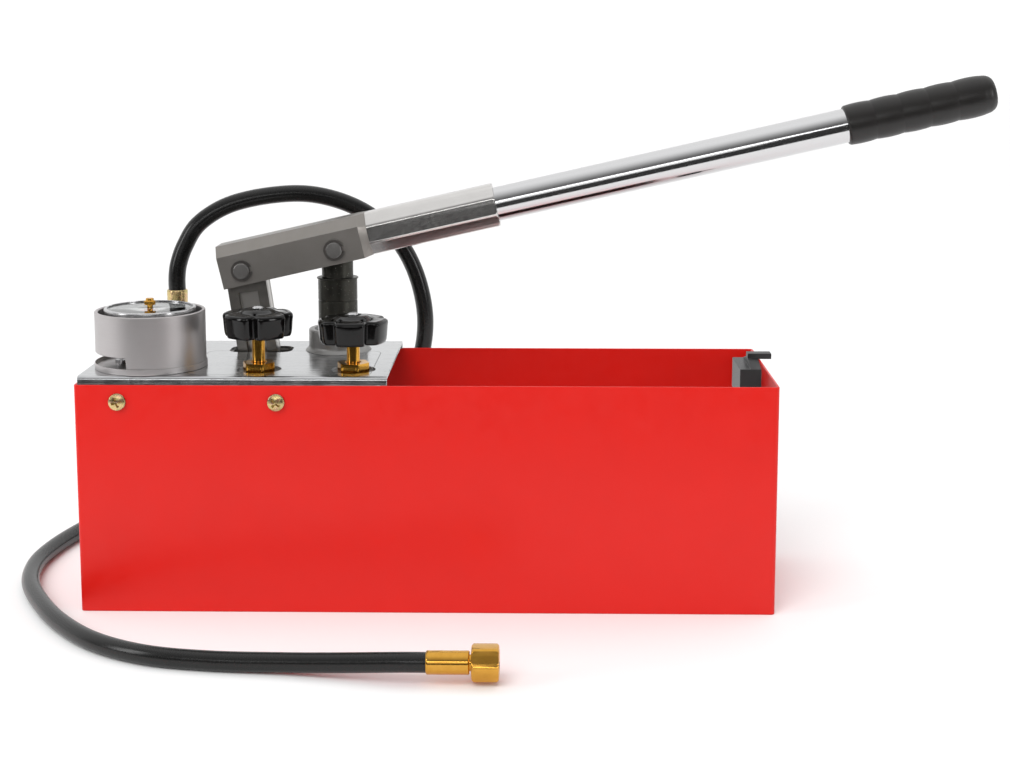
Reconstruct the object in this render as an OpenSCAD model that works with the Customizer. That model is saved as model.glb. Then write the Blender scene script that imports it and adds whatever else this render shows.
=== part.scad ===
// Hand-operated pressure-testing pump: a sheet-steel water tank, a lever piston pump hung
// under a cover plate, two star-knob valves, a face-up gauge in a tube guard, a delivery hose.
// Origin: centre of the tank's underside. +X right, +Y back, +Z up. Millimetres.

/* [Tank] */
// Length of the water tank
tank_l = 500; // [430:1:640]
// Depth of the water tank, front to back
tank_d = 150; // [125:1:200]
// Height of the water tank
tank_h = 166.5; // [150:0.5:220]
// Thickness of the tank sheet
tank_wall = 1.5; // [1:0.1:2.5]
// Outside radius of the upright corner folds
tank_corner_r = 3; // [3:0.5:10]

/* [Cover plate] */
// Length of the plate along the tank
plate_l = 220; // [216:1:260]
// Thickness of the plate
plate_t = 2; // [1.5:0.1:3]
// Height of the plate's top above the tank rim
plate_rise = 6; // [4:0.5:12]
// Outside radius of the plate's folds
plate_fold_r = 3; // [3:0.5:5]
// Depth of the flanges folded down inside the tank
flange_h = 30; // [26:1:40]
// Shank diameter of the plate screws
screw_d = 6; // [4:0.5:8]
// Head diameter of the plate screws
screw_head_d = 12; // [9:0.5:14]

/* [Pump cylinder] */
// Plunger diameter
plunger_d = 30; // [22:0.5:32]
// Length of the plunger from its foot to its shoulder
plunger_l = 137; // [130:1:145]
// Diameter of the plunger's neck
neck_d = 24; // [18:0.5:26]
// Wall of the cylinder barrel
barrel_wall = 6; // [4:0.5:8]
// Outside diameter of the collar on the plate
collar_d = 45; // [42:0.5:50]
// Height of the collar above the plate
collar_h = 17; // [14:0.5:20]

/* [Lever] */
// Angle of the lever above level at rest
lever_angle = 12.8; // [5:0.1:20]
// Distance between the two lever pins
pin_span = 72; // [66:0.5:80]
// Pin diameter
pin_d = 12; // [8:0.5:13]
// Height of the plunger pin above the plate
pin_rise = 79.5; // [76:0.5:90]
// Width of the lever channel
channel_w = 40; // [38:0.5:46]
// Wall of the lever channel
channel_wall = 4.5; // [3:0.5:5]
// Size across the flats of the eight-sided socket, and height of the channel
socket_af = 32.5; // [31:0.5:36]
// Length of the eight-sided socket
socket_l = 99; // [80:1:120]
// Outside diameter of the lever tube
tube_d = 26; // [20:0.5:27]
// Length of tube showing between socket and grip
tube_show = 270; // [200:1:360]
// Length of the hand grip
grip_l = 113; // [90:1:140]
// Largest diameter of the hand grip
grip_d = 31.5; // [30:0.5:36]

/* [Link] */
// Length of the link between its pins
link_l = 90; // [84:1:94]
// Lean of the link at rest, top to the left
link_lean = 8; // [4:0.5:10]
// Width of the link
link_w = 30; // [26:0.5:32]
// Thickness of the link
link_t = 18; // [14:0.5:20]
// Diameter of the lower link pin
pivot_d = 10; // [8:0.5:10]

/* [Gauge] */
// Diameter of the gauge case
gauge_d = 63; // [56:0.5:64]
// Outside diameter of the guard tube
guard_d = 79.5; // [76:0.5:84]
// Wall of the guard tube
guard_wall = 2.5; // [2:0.1:3]
// Height of the guard's top above the plate
guard_h = 41.5; // [40:0.5:50]
// Height of the cut-away under the guard's left half
guard_gap = 12; // [8:0.5:16]

/* [Valves] */
// Diameter of the star knobs
knob_d = 52; // [40:0.5:56]
// Height of a star knob's side
knob_h = 16.5; // [12:0.5:18]
// Diameter of the valve spindles
spindle_d = 9.5; // [8:0.1:10]
// Lead of the spindle thread, the rise in one turn
spindle_lead = 2; // [1:0.25:3]
// Turns that the left valve stands open at rest
left_turns = 2.25; // [0:0.25:2.5]
// Size across the flats of the brass bonnets
bonnet_af = 21; // [19:0.5:24]

/* [Hose] */
// Outside diameter of the hose
hose_d = 13.2; // [12.2:0.1:13.4]
// Size across the flats of the swivel nut
nut_af = 22; // [22:0.5:27]
// Length of the swivel nut
nut_l = 18; // [18:0.5:24]

/* [Fits] */
// Radial clearance of a running fit
run_fit = 0.05; // [0.03:0.01:0.08]
// Gap between separate pieces that nearly touch
gap = 0.3; // [0.2:0.05:0.5]

/* [Hidden] */
$fn = 64;

// Levels and edges
plate_top = tank_h + plate_rise;
plate_under = plate_top - plate_t;
inner_x0 = -tank_l / 2 + tank_wall;
inner_y1 = tank_d / 2 - tank_wall;
plate_x0 = inner_x0 + 1;
plate_y1 = inner_y1 - gap;
screw_z = tank_h - 12;
screw_xs = [plate_x0 + 28.5, plate_x0 + 141.5];
lip_x = screw_xs[1] + 34;
flange_lip = 6;
nut_t = 5;
head_t = 3.6;

// Places of the pieces on the plate
lever_y = plate_y1 - 38.2;
plunger_x = plate_x0 + 173.5;
gauge_x = plate_x0 + 44;
ring_d = guard_d + 1.5;
gauge_y = -plate_y1 + ring_d / 2 + 0.5;
valve_y = -plate_y1 + 28.2;
left_x = plate_x0 + 125;
right_x = plate_x0 + 193.5;
hose_x = plate_x0 + 47;
hose_y = plate_y1 - 25.2;

// Lever geometry, in a frame with its origin on the plunger pin and X along the lever
pin_z = plate_top + pin_rise;
axis_rise = 5.2;
channel_bottom = axis_rise - socket_af / 2;
channel_top = axis_rise + socket_af / 2;
channel_x0 = -pin_span - 16.7;
channel_x1 = 27;
channel_end_t = 9;
channel_bevel = 8;
channel_inner_w = channel_w - 2 * channel_wall;
tube_x0 = channel_x1 + 33;
tube_wall = 2.5;
socket_x1 = channel_x1 + socket_l;
grip_x0 = socket_x1 + tube_show;
grip_x1 = grip_x0 + grip_l;
grip_cap = 6;

// Link pins in the object's frame
link_x = plunger_x - pin_span * cos(lever_angle);
link_z = pin_z - pin_span * sin(lever_angle);
pivot_x = link_x + link_l * sin(link_lean);
pivot_z = link_z - link_l * cos(link_lean);
eye_r = link_w / 2;
// The lower eye is bored oversize, off to the side that the open pivot drifts to
open_play = 4.3;
open_shift = [-3.1, -0.95];
open_r = pivot_d / 2 + open_play;
foot_eye_r = max(eye_r + 0.5, open_r + 5);
foot_x = pivot_x + open_shift[0];
foot_eye_z = pivot_z + open_shift[1];
bracket_t = 5;
bracket_gap = 0.6;
slot_w = link_t + 9;
slot_r = 9;
slot_x0 = pivot_x - link_w / 2 - 10.6;
slot_x1 = pivot_x + link_w / 2 + 7.4;

// Pump body
body_h = 40;
body_z = plate_under - body_h;
body_x0 = gauge_x - 28;
body_x1 = right_x + 17;
body_y0 = valve_y - 19;
body_y1 = gauge_y + 14;
barrel_r = plunger_d / 2 + run_fit + barrel_wall;
boss_r = barrel_r + 6;
port_d = 13;
port_depth = 18;
gallery_ds = [6, 7, 5];
inlet_d = 6;
port_hole_d = 8;
gallery_z = body_z + 20;
feed_z = body_z + 11;
plug_d = 8;
plug_l = 5;
riser_d = 14;
riser_y = lever_y - 37;
riser_socket = 8;

// Valves
cavity_d = 16;
left_lift = left_turns * spindle_lead;
bonnet_d = 20;
bonnet_h = 7.5;
bonnet_x = 14;
seat_z = body_z + 15.5;
disc_d = 12;
disc_h = 4;
disc_pin_d = 6;
knob_z = plate_top + 19.5;
knob_bore = 8;
lobes = 5;

// Foot valve
foot_z = 36;
foot_r = barrel_r + 4;
socket_depth = 12;
foot_h = 40;
foot_top = foot_z + foot_h;
barrel_z = foot_top - socket_depth;
chamber_d = 18;
seat_r = 11;
seat_top = foot_z + 8;
suction_d = 14;
suction_hole = 10;
suction_cz = seat_top + sqrt(pow(suction_d / 2, 2) - pow(suction_hole / 2, 2)) + gap;
stop_pin_d = 3;
suction_lift = 2.5;
stop_z = suction_cz + suction_d / 2 + suction_lift + gap + stop_pin_d / 2;
cross_z = foot_z + 14;
delivery_seat_z = foot_z + 21;
delivery_d = 9;
delivery_cz = delivery_seat_z + sqrt(pow(delivery_d / 2, 2) - pow(inlet_d / 2, 2)) + gap;
side_r = 13;
side_top = foot_z + 42;
riser_z = side_top - riser_socket + gap;
spring_r = 3.5;
spring_wire = 1;
spring_z0 = delivery_cz + sqrt(pow(delivery_d / 2, 2) - pow(spring_r, 2)) + spring_wire / 2 + gap;
spring_z1 = riser_z - spring_wire / 2 - 0.1;
spring_turns = 4;

// Plunger
shoulder_z = pin_z - 23;
plunger_z = shoulder_z - plunger_l;
ring_groove = 2;
ring_h = 2.4;
ring_zs = [plunger_z + 6, plunger_z + 14];
seal_r = plunger_d / 2 + 4;
seal_z = plate_top + collar_h - 9;
wiper_z = plate_top + collar_h - 3;

// Gauge levels
guard_floor = 1.5;
lip_h = 4.5;
case_z = plate_top + 11.5;
case_top = plate_top + 40.5;
case_wall = 1.5;
dial_z = case_top - 5;
lens_z = case_top;
lens_t = 2.5;
arbor_d = 2;
reset_d = 4;

// Hose end
fitting_y = -208;
fitting_z = 14.2;
hose_end_x = 8;
ferrule_l = 28;
ferrule_d = 15.4;
hose_z = plate_top + 44.5;
nut_x = hose_end_x + ferrule_l + 1;
nut_turn = 29.3;
thread_r = 7.5;
nut_back = 3;
nut_recess = 5;

// Route of the hose's centre line, from its upper fitting to its lower one
HOSE_ROUTE = [[hose_x, hose_y, hose_z], [hose_x, hose_y, hose_z + 9], [-199, 48.5, 237],
  [-194, 50, 251], [-184, 52, 267], [-165, 55, 280], [-142, 60, 287], [-114, 67, 290],
  [-92, 73, 288], [-70, 78, 281], [-51, 82, 270], [-33, 85, 253], [-21, 87, 233],
  [-13, 88, 208], [-10.5, 89, 182], [-15, 91, 154], [-28, 94, 119], [-50, 98, 82],
  [-77, 105, 51], [-110, 115, 27], [-148, 129, 11], [-190, 145, 6.8], [-232, 155, 6.8],
  [-268, 148, 6.8], [-290, 126, 6.8], [-301, 90, 6.8], [-308, 50, 6.8], [-309, 12, 6.8],
  [-300, -30, 6.8], [-281, -72, 6.8], [-254, -116, 6.8], [-220, -154, 6.8], [-180, -178, 6.8],
  [-136, -188, 6.8], [-90, -193, 7.8], [-50, -200, 10.5], [-8, -208, 14.2],
  [hose_end_x, fitting_y, fitting_z]];
hose_sides = 12;
hose_steps = 2;

// ---- helpers ----

// A rectangle with rounded corners, from its middle
module round_rect(w, d, r) {
  square([w - 2 * r, d], center = true);
  square([w, d - 2 * r], center = true);
  for (sx = [-1, 1], sy = [-1, 1]) translate([sx * (w / 2 - r), sy * (d / 2 - r)]) circle(r);
}

// A box between two corners
module box(a, b) {
  translate(a) cube(b - a);
}

// A washer-shaped tube standing on z = 0
module pipe(ro, ri, h) {
  difference() {
    cylinder(r = ro, h = h);
    translate([0, 0, -1]) cylinder(r = ri, h = h + 2);
  }
}

// A hexagon bar standing on z = 0
module hex_bar(af, h) {
  cylinder(r = af / 2 / cos(30), h = h, $fn = 6);
}

// Turns a Z-axis shape to lie along +X, +Y or -Y
module along_x() { rotate([0, 90, 0]) children(); }
module along_y() { rotate([-90, 0, 0]) children(); }
module along_minus_y() { rotate([90, 0, 0]) children(); }

// The lever's own frame: origin on the plunger pin, X towards the grip
module lever_frame() {
  translate([plunger_x, lever_y, pin_z]) rotate([0, -lever_angle, 0]) children();
}

// The link's own frame: origin on the upper pin, Z from the lower pin to the upper one
module link_frame() {
  translate([link_x, lever_y, link_z]) rotate([0, -link_lean, 0]) children();
}

// A point between b and c on a Catmull-Rom curve through a, b, c, d
function curve_point(a, b, c, d, t) =
  0.5 * (2 * b + t * (c - a) + t * t * (2 * a - 5 * b + 4 * c - d)
  + t * t * t * (3 * b - a - 3 * c + d));

// A smooth line through the points, with a few steps in each span
function smooth(p, steps) = let (n = len(p)) concat(
  [for (i = [0 : n - 2], k = [0 : steps - 1])
    curve_point(p[max(i - 1, 0)], p[i], p[i + 1], p[min(i + 2, n - 1)], k / steps)],
  [p[n - 1]]);

function unit(v) = v / norm(v);

// Direction of the line at each of its points
function headings(p) = let (n = len(p))
  [for (i = [0 : n - 1]) unit(p[min(i + 1, n - 1)] - p[max(i - 1, 0)])];

// A side vector at each point, carried along without twist
function sides_along(h, start) = [for (i = 0, s = unit(start - (start * h[0]) * h[0]);
  i < len(h);
  i = i + 1, s = i < len(h) ? unit(s - (s * h[i]) * h[i]) : s) s];

// A closed tube of radius r swept along the line p
module sweep_tube(p, r, n, start) {
  h = headings(p);
  s = sides_along(h, start);
  m = len(p);
  points = [for (i = [0 : m - 1], k = [0 : n - 1])
    p[i] + r * (cos(360 * k / n) * s[i] + sin(360 * k / n) * cross(h[i], s[i]))];
  walls = [for (i = [0 : m - 2], k = [0 : n - 1])
    [i * n + k, (i + 1) * n + k, (i + 1) * n + (k + 1) % n, i * n + (k + 1) % n]];
  first = [for (k = [0 : n - 1]) k];
  last = [for (k = [0 : n - 1]) m * n - 1 - k];
  polyhedron(points = points, faces = concat(walls, [first, last]), convexity = 6);
}

// ---- tank and plate ----

module tank() {
  color("red") difference() {
    linear_extrude(tank_h) round_rect(tank_l, tank_d, tank_corner_r);
    translate([0, 0, tank_wall]) linear_extrude(tank_h)
      round_rect(tank_l - 2 * tank_wall, tank_d - 2 * tank_wall, tank_corner_r - tank_wall);
    for (x = screw_xs) translate([x, -tank_d, screw_z])
      along_y() cylinder(d = screw_d + 0.5, h = 2 * tank_d);
    clip_screw_places() cylinder(d = clip_screw_d + 0.5, h = 40, center = true);
  }
}

// A folded channel with its opening downwards
module cover_plate() {
  plate_d = 2 * plate_y1;
  color("silver") difference() {
    translate([plate_x0, 0, plate_top - plate_d / 2]) rotate([90, 0, 90])
      linear_extrude(plate_l) difference() {
        round_rect(plate_d, plate_d, plate_fold_r);
        round_rect(plate_d - 2 * plate_t, plate_d - 2 * plate_t, plate_fold_r - plate_t + 0.01);
        translate([-plate_d, -2 * plate_d + plate_d / 2 - flange_h])
          square([2 * plate_d, 2 * plate_d]);
      }
    translate([0, 0, plate_under - 1]) {
      for (x = [left_x, right_x]) translate([x, valve_y, 0]) cylinder(d = 32, h = 4 + plate_t);
      translate([plunger_x, lever_y, 0]) cylinder(r = plunger_d / 2 + 3, h = 4 + plate_t);
      translate([gauge_x, gauge_y, 0]) cylinder(d = port_d + 5, h = 4 + plate_t);
      translate([hose_x, hose_y, 0]) cylinder(d = 24, h = 4 + plate_t);
      translate([(slot_x0 + slot_x1) / 2, lever_y, 0]) linear_extrude(4 + plate_t)
        round_rect(slot_x1 - slot_x0, slot_w, slot_r);
    }
    guard_screw_places() translate([0, 0, -1]) cylinder(d = 5.4, h = 4 + plate_t);
    for (x = screw_xs) translate([x, -tank_d, screw_z])
      along_y() cylinder(d = screw_d + 0.5, h = 2 * tank_d);
    // Past the screws the flanges step up to a short lip
    translate([lip_x, -tank_d, plate_top - flange_h - 1])
      cube([plate_l, 2 * tank_d, flange_h + 1 - flange_lip]);
  }
}

// A pan-head screw, its head's underside at z = 0 and its shank towards -Z
module pan_screw(d, head_d, l) {
  difference() {
    union() {
      intersection() {
        cylinder(d = head_d, h = head_t);
        translate([0, 0, head_t - head_d]) sphere(r = head_d);
      }
      translate([0, 0, -l]) cylinder(d = d, h = l + 0.5);
    }
    for (a = [0, 90]) rotate([0, 0, a])
      translate([-head_d / 4, -head_d / 20, head_t - 1.8]) cube([head_d / 2, head_d / 10, 3]);
  }
}

// Front and back screws that hold the plate's flanges in the tank
module plate_screws() {
  color("gold") for (x = screw_xs) {
    translate([x, -tank_d / 2, screw_z])
      along_minus_y() rotate([0, 0, 20]) pan_screw(screw_d, screw_head_d, 11);
    translate([x, tank_d / 2, screw_z])
      along_y() rotate([0, 0, 35]) pan_screw(screw_d, screw_head_d, 11);
  }
}

// Nuts on the inside of the flanges
module plate_nuts() {
  nut_y = plate_y1 - plate_t;
  color("goldenrod") for (x = screw_xs, s = [-1, 1])
    translate([x, s > 0 ? nut_y - nut_t : -nut_y, screw_z]) along_y() difference() {
      hex_bar(screw_d + 4, nut_t);
      translate([0, 0, -1]) cylinder(r = screw_d / 2 + run_fit, h = nut_t + 2);
    }
}

// ---- lever rest ----

clip_w = 50;
clip_neck_w = 10;
clip_block_t = 16;
clip_neck_t = 8;
clip_bar_h = 4.5;
clip_out = 8.5;
clip_screw_d = 4;
clip_low = tank_h - 27;
clip_shoulder = tank_h - 4;

// Places the screws that pass through the right wall, pointing along +X
module clip_screw_places() {
  for (s = [-1, 1]) translate([tank_l / 2, lever_y + s * 15, (clip_low + clip_shoulder) / 2])
    along_x() children();
}

// Moulded rest: a block inside the wall, a neck and a bar over the rim
module lever_rest_clip() {
  face = tank_l / 2 - tank_wall - 0.1;
  color("dimgray") difference() {
    union() {
      box([face - clip_block_t, lever_y - clip_w / 2, clip_low],
        [face, lever_y + clip_w / 2, clip_shoulder]);
      translate([face - clip_neck_t, lever_y, 0]) rotate([90, 0, 90])
        linear_extrude(clip_neck_t) polygon([[-clip_w / 2, clip_shoulder],
          [-clip_w / 2, clip_shoulder - 6], [clip_w / 2, clip_shoulder - 6],
          [clip_w / 2, clip_shoulder], [clip_neck_w / 2, tank_h + 1],
          [clip_neck_w / 2, tank_h + clip_bar_h], [-clip_neck_w / 2, tank_h + clip_bar_h],
          [-clip_neck_w / 2, tank_h + 1]]);
      box([face - clip_neck_t, lever_y - clip_neck_w / 2, tank_h + 0.2],
        [tank_l / 2 + clip_out, lever_y + clip_neck_w / 2, tank_h + clip_bar_h]);
    }
    clip_screw_places() translate([0, 0, -16]) cylinder(r = clip_screw_d / 2 + 0.1, h = 30);
  }
}

module clip_screws() {
  color("gray") clip_screw_places() pan_screw(clip_screw_d, 8, 13);
}

// ---- pump body ----

// Distance and direction of the drilling that feeds the shut-off valve from the riser
feed_turn = atan2(valve_y - riser_y, right_x - plunger_x);
feed_len = (body_y0 - riser_y) / sin(feed_turn);

// The three drillings that are closed by plugs, each along its own Z from the mouth inwards
module gallery_mouth(i) {
  if (i == 0) translate([body_x0, valve_y + 2, gallery_z]) along_x() children();
  if (i == 1) translate([hose_x, body_y0, gallery_z]) along_y() children();
  if (i == 2) translate([plunger_x, riser_y, feed_z]) rotate([0, 0, feed_turn])
    translate([feed_len - 2.5, 0, 0]) rotate([0, -90, 0]) children();
}

module pump_body() {
  reach = [right_x - body_x0 + 2, hose_y - body_y0 + 2, feed_len - 1];
  color("lightgray") difference() {
    union() {
      box([body_x0, body_y0, body_z], [body_x1, body_y1, plate_under]);
      box([plunger_x - 24, body_y1 - 1, body_z], [plunger_x + 24, lever_y, plate_under]);
      translate([plunger_x, lever_y, body_z]) cylinder(r = boss_r, h = body_h);
      box([hose_x - 13, body_y1 - 1, body_z], [hose_x + 13, hose_y, plate_under]);
      translate([hose_x, hose_y, body_z]) cylinder(r = 15, h = body_h);
    }
    translate([plunger_x, lever_y, body_z - 1]) cylinder(r = barrel_r + run_fit, h = body_h + 2);
    for (p = [[gauge_x, gauge_y], [hose_x, hose_y]]) translate([p[0], p[1], 0]) {
      translate([0, 0, plate_under - port_depth])
        cylinder(r = port_d / 2 + run_fit, h = port_depth + 1);
      translate([0, 0, gallery_z - 1.5]) cylinder(d = port_hole_d, h = port_depth);
    }
    for (x = [left_x, right_x]) translate([x, valve_y, 0]) {
      translate([0, 0, plate_under - bonnet_x])
        cylinder(r = bonnet_d / 2 + run_fit, h = bonnet_x + 1);
      translate([0, 0, seat_z]) cylinder(d = cavity_d, h = plate_under - seat_z);
    }
    translate([left_x, valve_y, body_z - 1]) cylinder(d = inlet_d, h = seat_z - body_z + 2);
    translate([right_x, valve_y, feed_z]) cylinder(d = inlet_d, h = seat_z - feed_z + 1);
    translate([plunger_x, riser_y, body_z - 1])
      cylinder(r = riser_d / 2 + run_fit, h = riser_socket + 1);
    translate([plunger_x, riser_y, body_z]) cylinder(d = port_hole_d, h = feed_z + 4 - body_z);
    for (i = [0 : 2]) gallery_mouth(i) {
      cylinder(d = gallery_ds[i], h = reach[i]);
      translate([0, 0, -5]) cylinder(r = plug_d / 2 + run_fit, h = plug_l + 6);
    }
    guard_screw_places() translate([0, 0, -12]) cylinder(r = 2.5 + run_fit, h = 13);
  }
}

module gallery_plugs() {
  color("goldenrod") for (i = [0 : 2]) gallery_mouth(i) difference() {
    translate([0, 0, i == 2 ? 0.5 : 0.2]) cylinder(d = plug_d, h = plug_l - 0.4);
    translate([0, 0, -1]) hex_bar(3, 4);
  }
}

// ---- cylinder ----

module cylinder_barrel() {
  color("gray") translate([plunger_x, lever_y, barrel_z])
    pipe(barrel_r, plunger_d / 2 + run_fit, plate_under - barrel_z);
}

// Collar on the plate, with a seal groove and a wiper seat in its bore
module cylinder_collar() {
  color("darkgray") translate([plunger_x, lever_y, 0]) difference() {
    union() {
      translate([0, 0, plate_top]) cylinder(d = collar_d, h = collar_h);
      translate([0, 0, plate_top]) cylinder(d1 = collar_d + 6, d2 = collar_d, h = 3);
      translate([0, 0, plate_under]) cylinder(r = plunger_d / 2 + 2.8, h = plate_t + 1);
    }
    translate([0, 0, plate_under - 1])
      cylinder(r = plunger_d / 2 + run_fit, h = collar_h + plate_t + 2);
    translate([0, 0, seal_z]) cylinder(r = seal_r, h = 5);
    translate([0, 0, wiper_z]) cylinder(r = plunger_d / 2 + 3, h = 4);
  }
}

module gland_seal() {
  color("black") translate([plunger_x, lever_y, seal_z + 0.1])
    pipe(seal_r - 0.1, plunger_d / 2 + run_fit, 4.8);
}

module gland_wiper() {
  color("black") translate([plunger_x, lever_y, wiper_z + 0.1])
    pipe(plunger_d / 2 + 2.9, plunger_d / 2 + run_fit, 2.9);
}

// ---- foot valve ----

module foot_valve_body() {
  color("lightgray") difference() {
    union() {
      translate([plunger_x, lever_y, foot_z]) cylinder(r = foot_r, h = foot_h);
      box([plunger_x - side_r, riser_y, foot_z + 4],
        [plunger_x + side_r, lever_y, barrel_z - 1]);
      translate([plunger_x, riser_y, foot_z + 4]) cylinder(r = side_r, h = side_top - foot_z - 4);
    }
    translate([plunger_x, lever_y, 0]) {
      translate([0, 0, barrel_z]) cylinder(r = barrel_r + run_fit, h = socket_depth + 1);
      translate([0, 0, foot_z - 1]) cylinder(r = seat_r + run_fit, h = seat_top - foot_z + 1);
      translate([0, 0, foot_z]) cylinder(d = chamber_d, h = foot_h);
      translate([-foot_r - 1, 0, stop_z])
        along_x() cylinder(r = stop_pin_d / 2 + run_fit, h = 2 * foot_r + 2);
    }
    translate([plunger_x, riser_y, 0]) {
      translate([0, 0, cross_z]) cylinder(d = inlet_d, h = side_top - cross_z);
      translate([0, 0, delivery_seat_z]) cylinder(d = riser_d - 1, h = side_top - delivery_seat_z);
      translate([0, 0, side_top - riser_socket])
        cylinder(r = riser_d / 2 + run_fit, h = riser_socket + 1);
      translate([0, 0, cross_z]) along_y() cylinder(d = inlet_d + 1, h = lever_y - riser_y);
    }
  }
}

module suction_seat() {
  color("goldenrod") translate([plunger_x, lever_y, 0]) difference() {
    union() {
      translate([0, 0, foot_z]) cylinder(r = seat_r, h = seat_top - foot_z);
      translate([0, 0, foot_z - 6]) cylinder(r = seat_r + 3, h = 6);
      translate([0, 0, foot_z - 14]) cylinder(r = seat_r - 0.5, h = 9);
    }
    translate([0, 0, foot_z - 15]) cylinder(d = suction_hole, h = 30);
  }
}

module suction_ball() {
  color("silver") translate([plunger_x, lever_y, suction_cz]) sphere(d = suction_d);
}

module ball_stop_pin() {
  color("gray") translate([plunger_x - foot_r + 0.5, lever_y, stop_z])
    along_x() cylinder(d = stop_pin_d, h = 2 * foot_r - 1);
}

// A cup with upright slots round its wall
module suction_strainer() {
  color("gainsboro") translate([plunger_x, lever_y, foot_z - 24]) difference() {
    cylinder(r = seat_r + 1, h = 18 - gap);
    translate([0, 0, 1.2]) cylinder(r = seat_r - 0.4, h = 20);
    for (a = [0 : 30 : 150]) rotate([0, 0, a]) translate([-20, -1.5, 3]) cube([40, 3, 8]);
  }
}

module delivery_ball() {
  color("silver") translate([plunger_x, riser_y, delivery_cz]) sphere(d = delivery_d);
}

module delivery_spring() {
  steps = 14 * spring_turns;
  path = [for (i = [0 : steps]) [spring_r * cos(360 * i / 14), spring_r * sin(360 * i / 14),
    spring_z0 + (spring_z1 - spring_z0) * i / steps]];
  color("silver") translate([plunger_x, riser_y, 0])
    sweep_tube(path, spring_wire / 2, 8, [0, 0, 1]);
}

module riser_pipe() {
  color("peru") translate([plunger_x, riser_y, riser_z])
    pipe(riser_d / 2, 4, body_z + riser_socket - gap - riser_z);
}

// ---- link bracket ----

module link_bracket() {
  inner = link_t / 2 + bracket_gap;
  left = pivot_x - 24;
  right = pivot_x + 18;
  low = pivot_z - 13;
  color("dimgray") difference() {
    union() {
      for (s = [-1, 1]) translate([0, lever_y + s * (inner + bracket_t / 2), 0])
        box([left, -bracket_t / 2, low], [right, bracket_t / 2, plate_under]);
      box([left - bracket_t, lever_y - inner - bracket_t, low],
        [left, lever_y + inner + bracket_t, plate_under]);
    }
    translate([pivot_x, lever_y - 40, pivot_z]) along_y() cylinder(r = pivot_d / 2 + 0.01, h = 80);
  }
}

module link_pivot_pin() {
  half = link_t / 2 + bracket_gap + bracket_t;
  color("silver") translate([pivot_x, lever_y - half - 2, pivot_z]) along_y() {
    cylinder(d = pivot_d, h = 2 * half + 4);
    cylinder(d = pivot_d + 5, h = 1.8);
    translate([0, 0, 2 * half + 2.2]) cylinder(d = pivot_d + 5, h = 1.8);
  }
}

// ---- gauge ----

// Three screws inside the guard, round the gauge stem
module guard_screw_places() {
  for (a = [0, 180, 270]) translate([gauge_x + 22 * cos(a), gauge_y + 22 * sin(a), plate_under])
    children();
}

// Tube with the lower part of its left half cut away
module gauge_guard() {
  base = plate_top + guard_floor;
  color("gainsboro") translate([gauge_x, gauge_y, 0]) difference() {
    translate([0, 0, base]) pipe(guard_d / 2, guard_d / 2 - guard_wall,
      guard_h - guard_floor);
    translate([0, 0, base - 1]) linear_extrude(guard_gap - guard_floor + 1)
      polygon(concat([[0, 0]], [for (a = [97 : 40 : 257]) guard_d * [cos(a), sin(a)]]));
  }
}

// Shallow turned dish that the guard stands in
module guard_ring() {
  color("gainsboro") translate([gauge_x, gauge_y, plate_top]) difference() {
    cylinder(d = ring_d, h = lip_h);
    translate([0, 0, guard_floor]) cylinder(d = guard_d + 0.2, h = lip_h);
    translate([0, 0, -1]) cylinder(d = port_d + 5, h = 4);
    translate([-gauge_x, -gauge_y, -plate_top]) guard_screw_places()
      cylinder(d = 5.4, h = 20);
  }
}

module guard_screws() {
  color("silver") guard_screw_places() translate([0, 0, plate_t + guard_floor]) difference() {
    union() {
      cylinder(d = 9, h = 3);
      translate([0, 0, -plate_t - guard_floor - 11]) cylinder(d = 5, h = 12 + plate_t);
    }
    translate([0, 0, 1]) hex_bar(3, 4);
  }
}

module gauge_stem() {
  color("goldenrod") translate([gauge_x, gauge_y, 0]) difference() {
    union() {
      translate([0, 0, plate_under - port_depth + 1])
        cylinder(d = port_d, h = case_z + case_wall + 5 - plate_under + port_depth - 1);
      translate([0, 0, plate_top + 2.5]) hex_bar(16, case_z - plate_top - 2.6);
      rotate([0, 0, 20]) translate([0, 0, case_z + case_wall]) cube([21, 5, 4.5]);
    }
    translate([0, 0, plate_under - port_depth]) cylinder(d = 4, h = port_depth + 14);
  }
}

module gauge_case() {
  color("dimgray") translate([gauge_x, gauge_y, case_z]) difference() {
    cylinder(d = gauge_d, h = case_top - case_z);
    translate([0, 0, case_wall]) cylinder(d = gauge_d - 2 * case_wall, h = 60);
    translate([0, 0, -1]) cylinder(r = port_d / 2 + run_fit, h = 4);
  }
}

module bourdon_tube() {
  color("peru") translate([gauge_x, gauge_y, case_z + 10]) rotate([0, 0, 20])
    rotate_extrude(angle = 270) translate([20, 0]) square([2.5, 8], center = true);
}

module gauge_movement() {
  color("goldenrod") translate([gauge_x, gauge_y, 0]) difference() {
    union() {
      translate([-8, -10, case_z + case_wall + 5]) cube([16, 20, 3]);
      translate([-8, -10, dial_z - 2]) cube([16, 20, 2]);
      for (s = [-1, 1]) translate([0, 7 * s, case_z + case_wall + 5])
        cylinder(d = 4, h = dial_z - 1 - case_z - case_wall - 5);
    }
    translate([0, 0, case_z]) cylinder(r = arbor_d / 2 + run_fit, h = 60);
  }
}

module gauge_dial() {
  color("white") translate([gauge_x, gauge_y, dial_z]) difference() {
    cylinder(d = gauge_d - 2 * case_wall - 0.4, h = 0.8);
    translate([0, 0, -1]) cylinder(d = 3, h = 3);
  }
}

module gauge_pointer() {
  color("black") translate([gauge_x, gauge_y, 0]) {
    translate([0, 0, case_z + 10]) cylinder(d = arbor_d, h = dial_z + 1.4 - case_z - 10);
    translate([0, 0, dial_z + 1.3]) cylinder(d = 6, h = 0.9);
    rotate([0, 0, 225]) translate([-8, -0.6, dial_z + 1.3]) cube([30, 1.2, 0.5]);
  }
}

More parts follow.
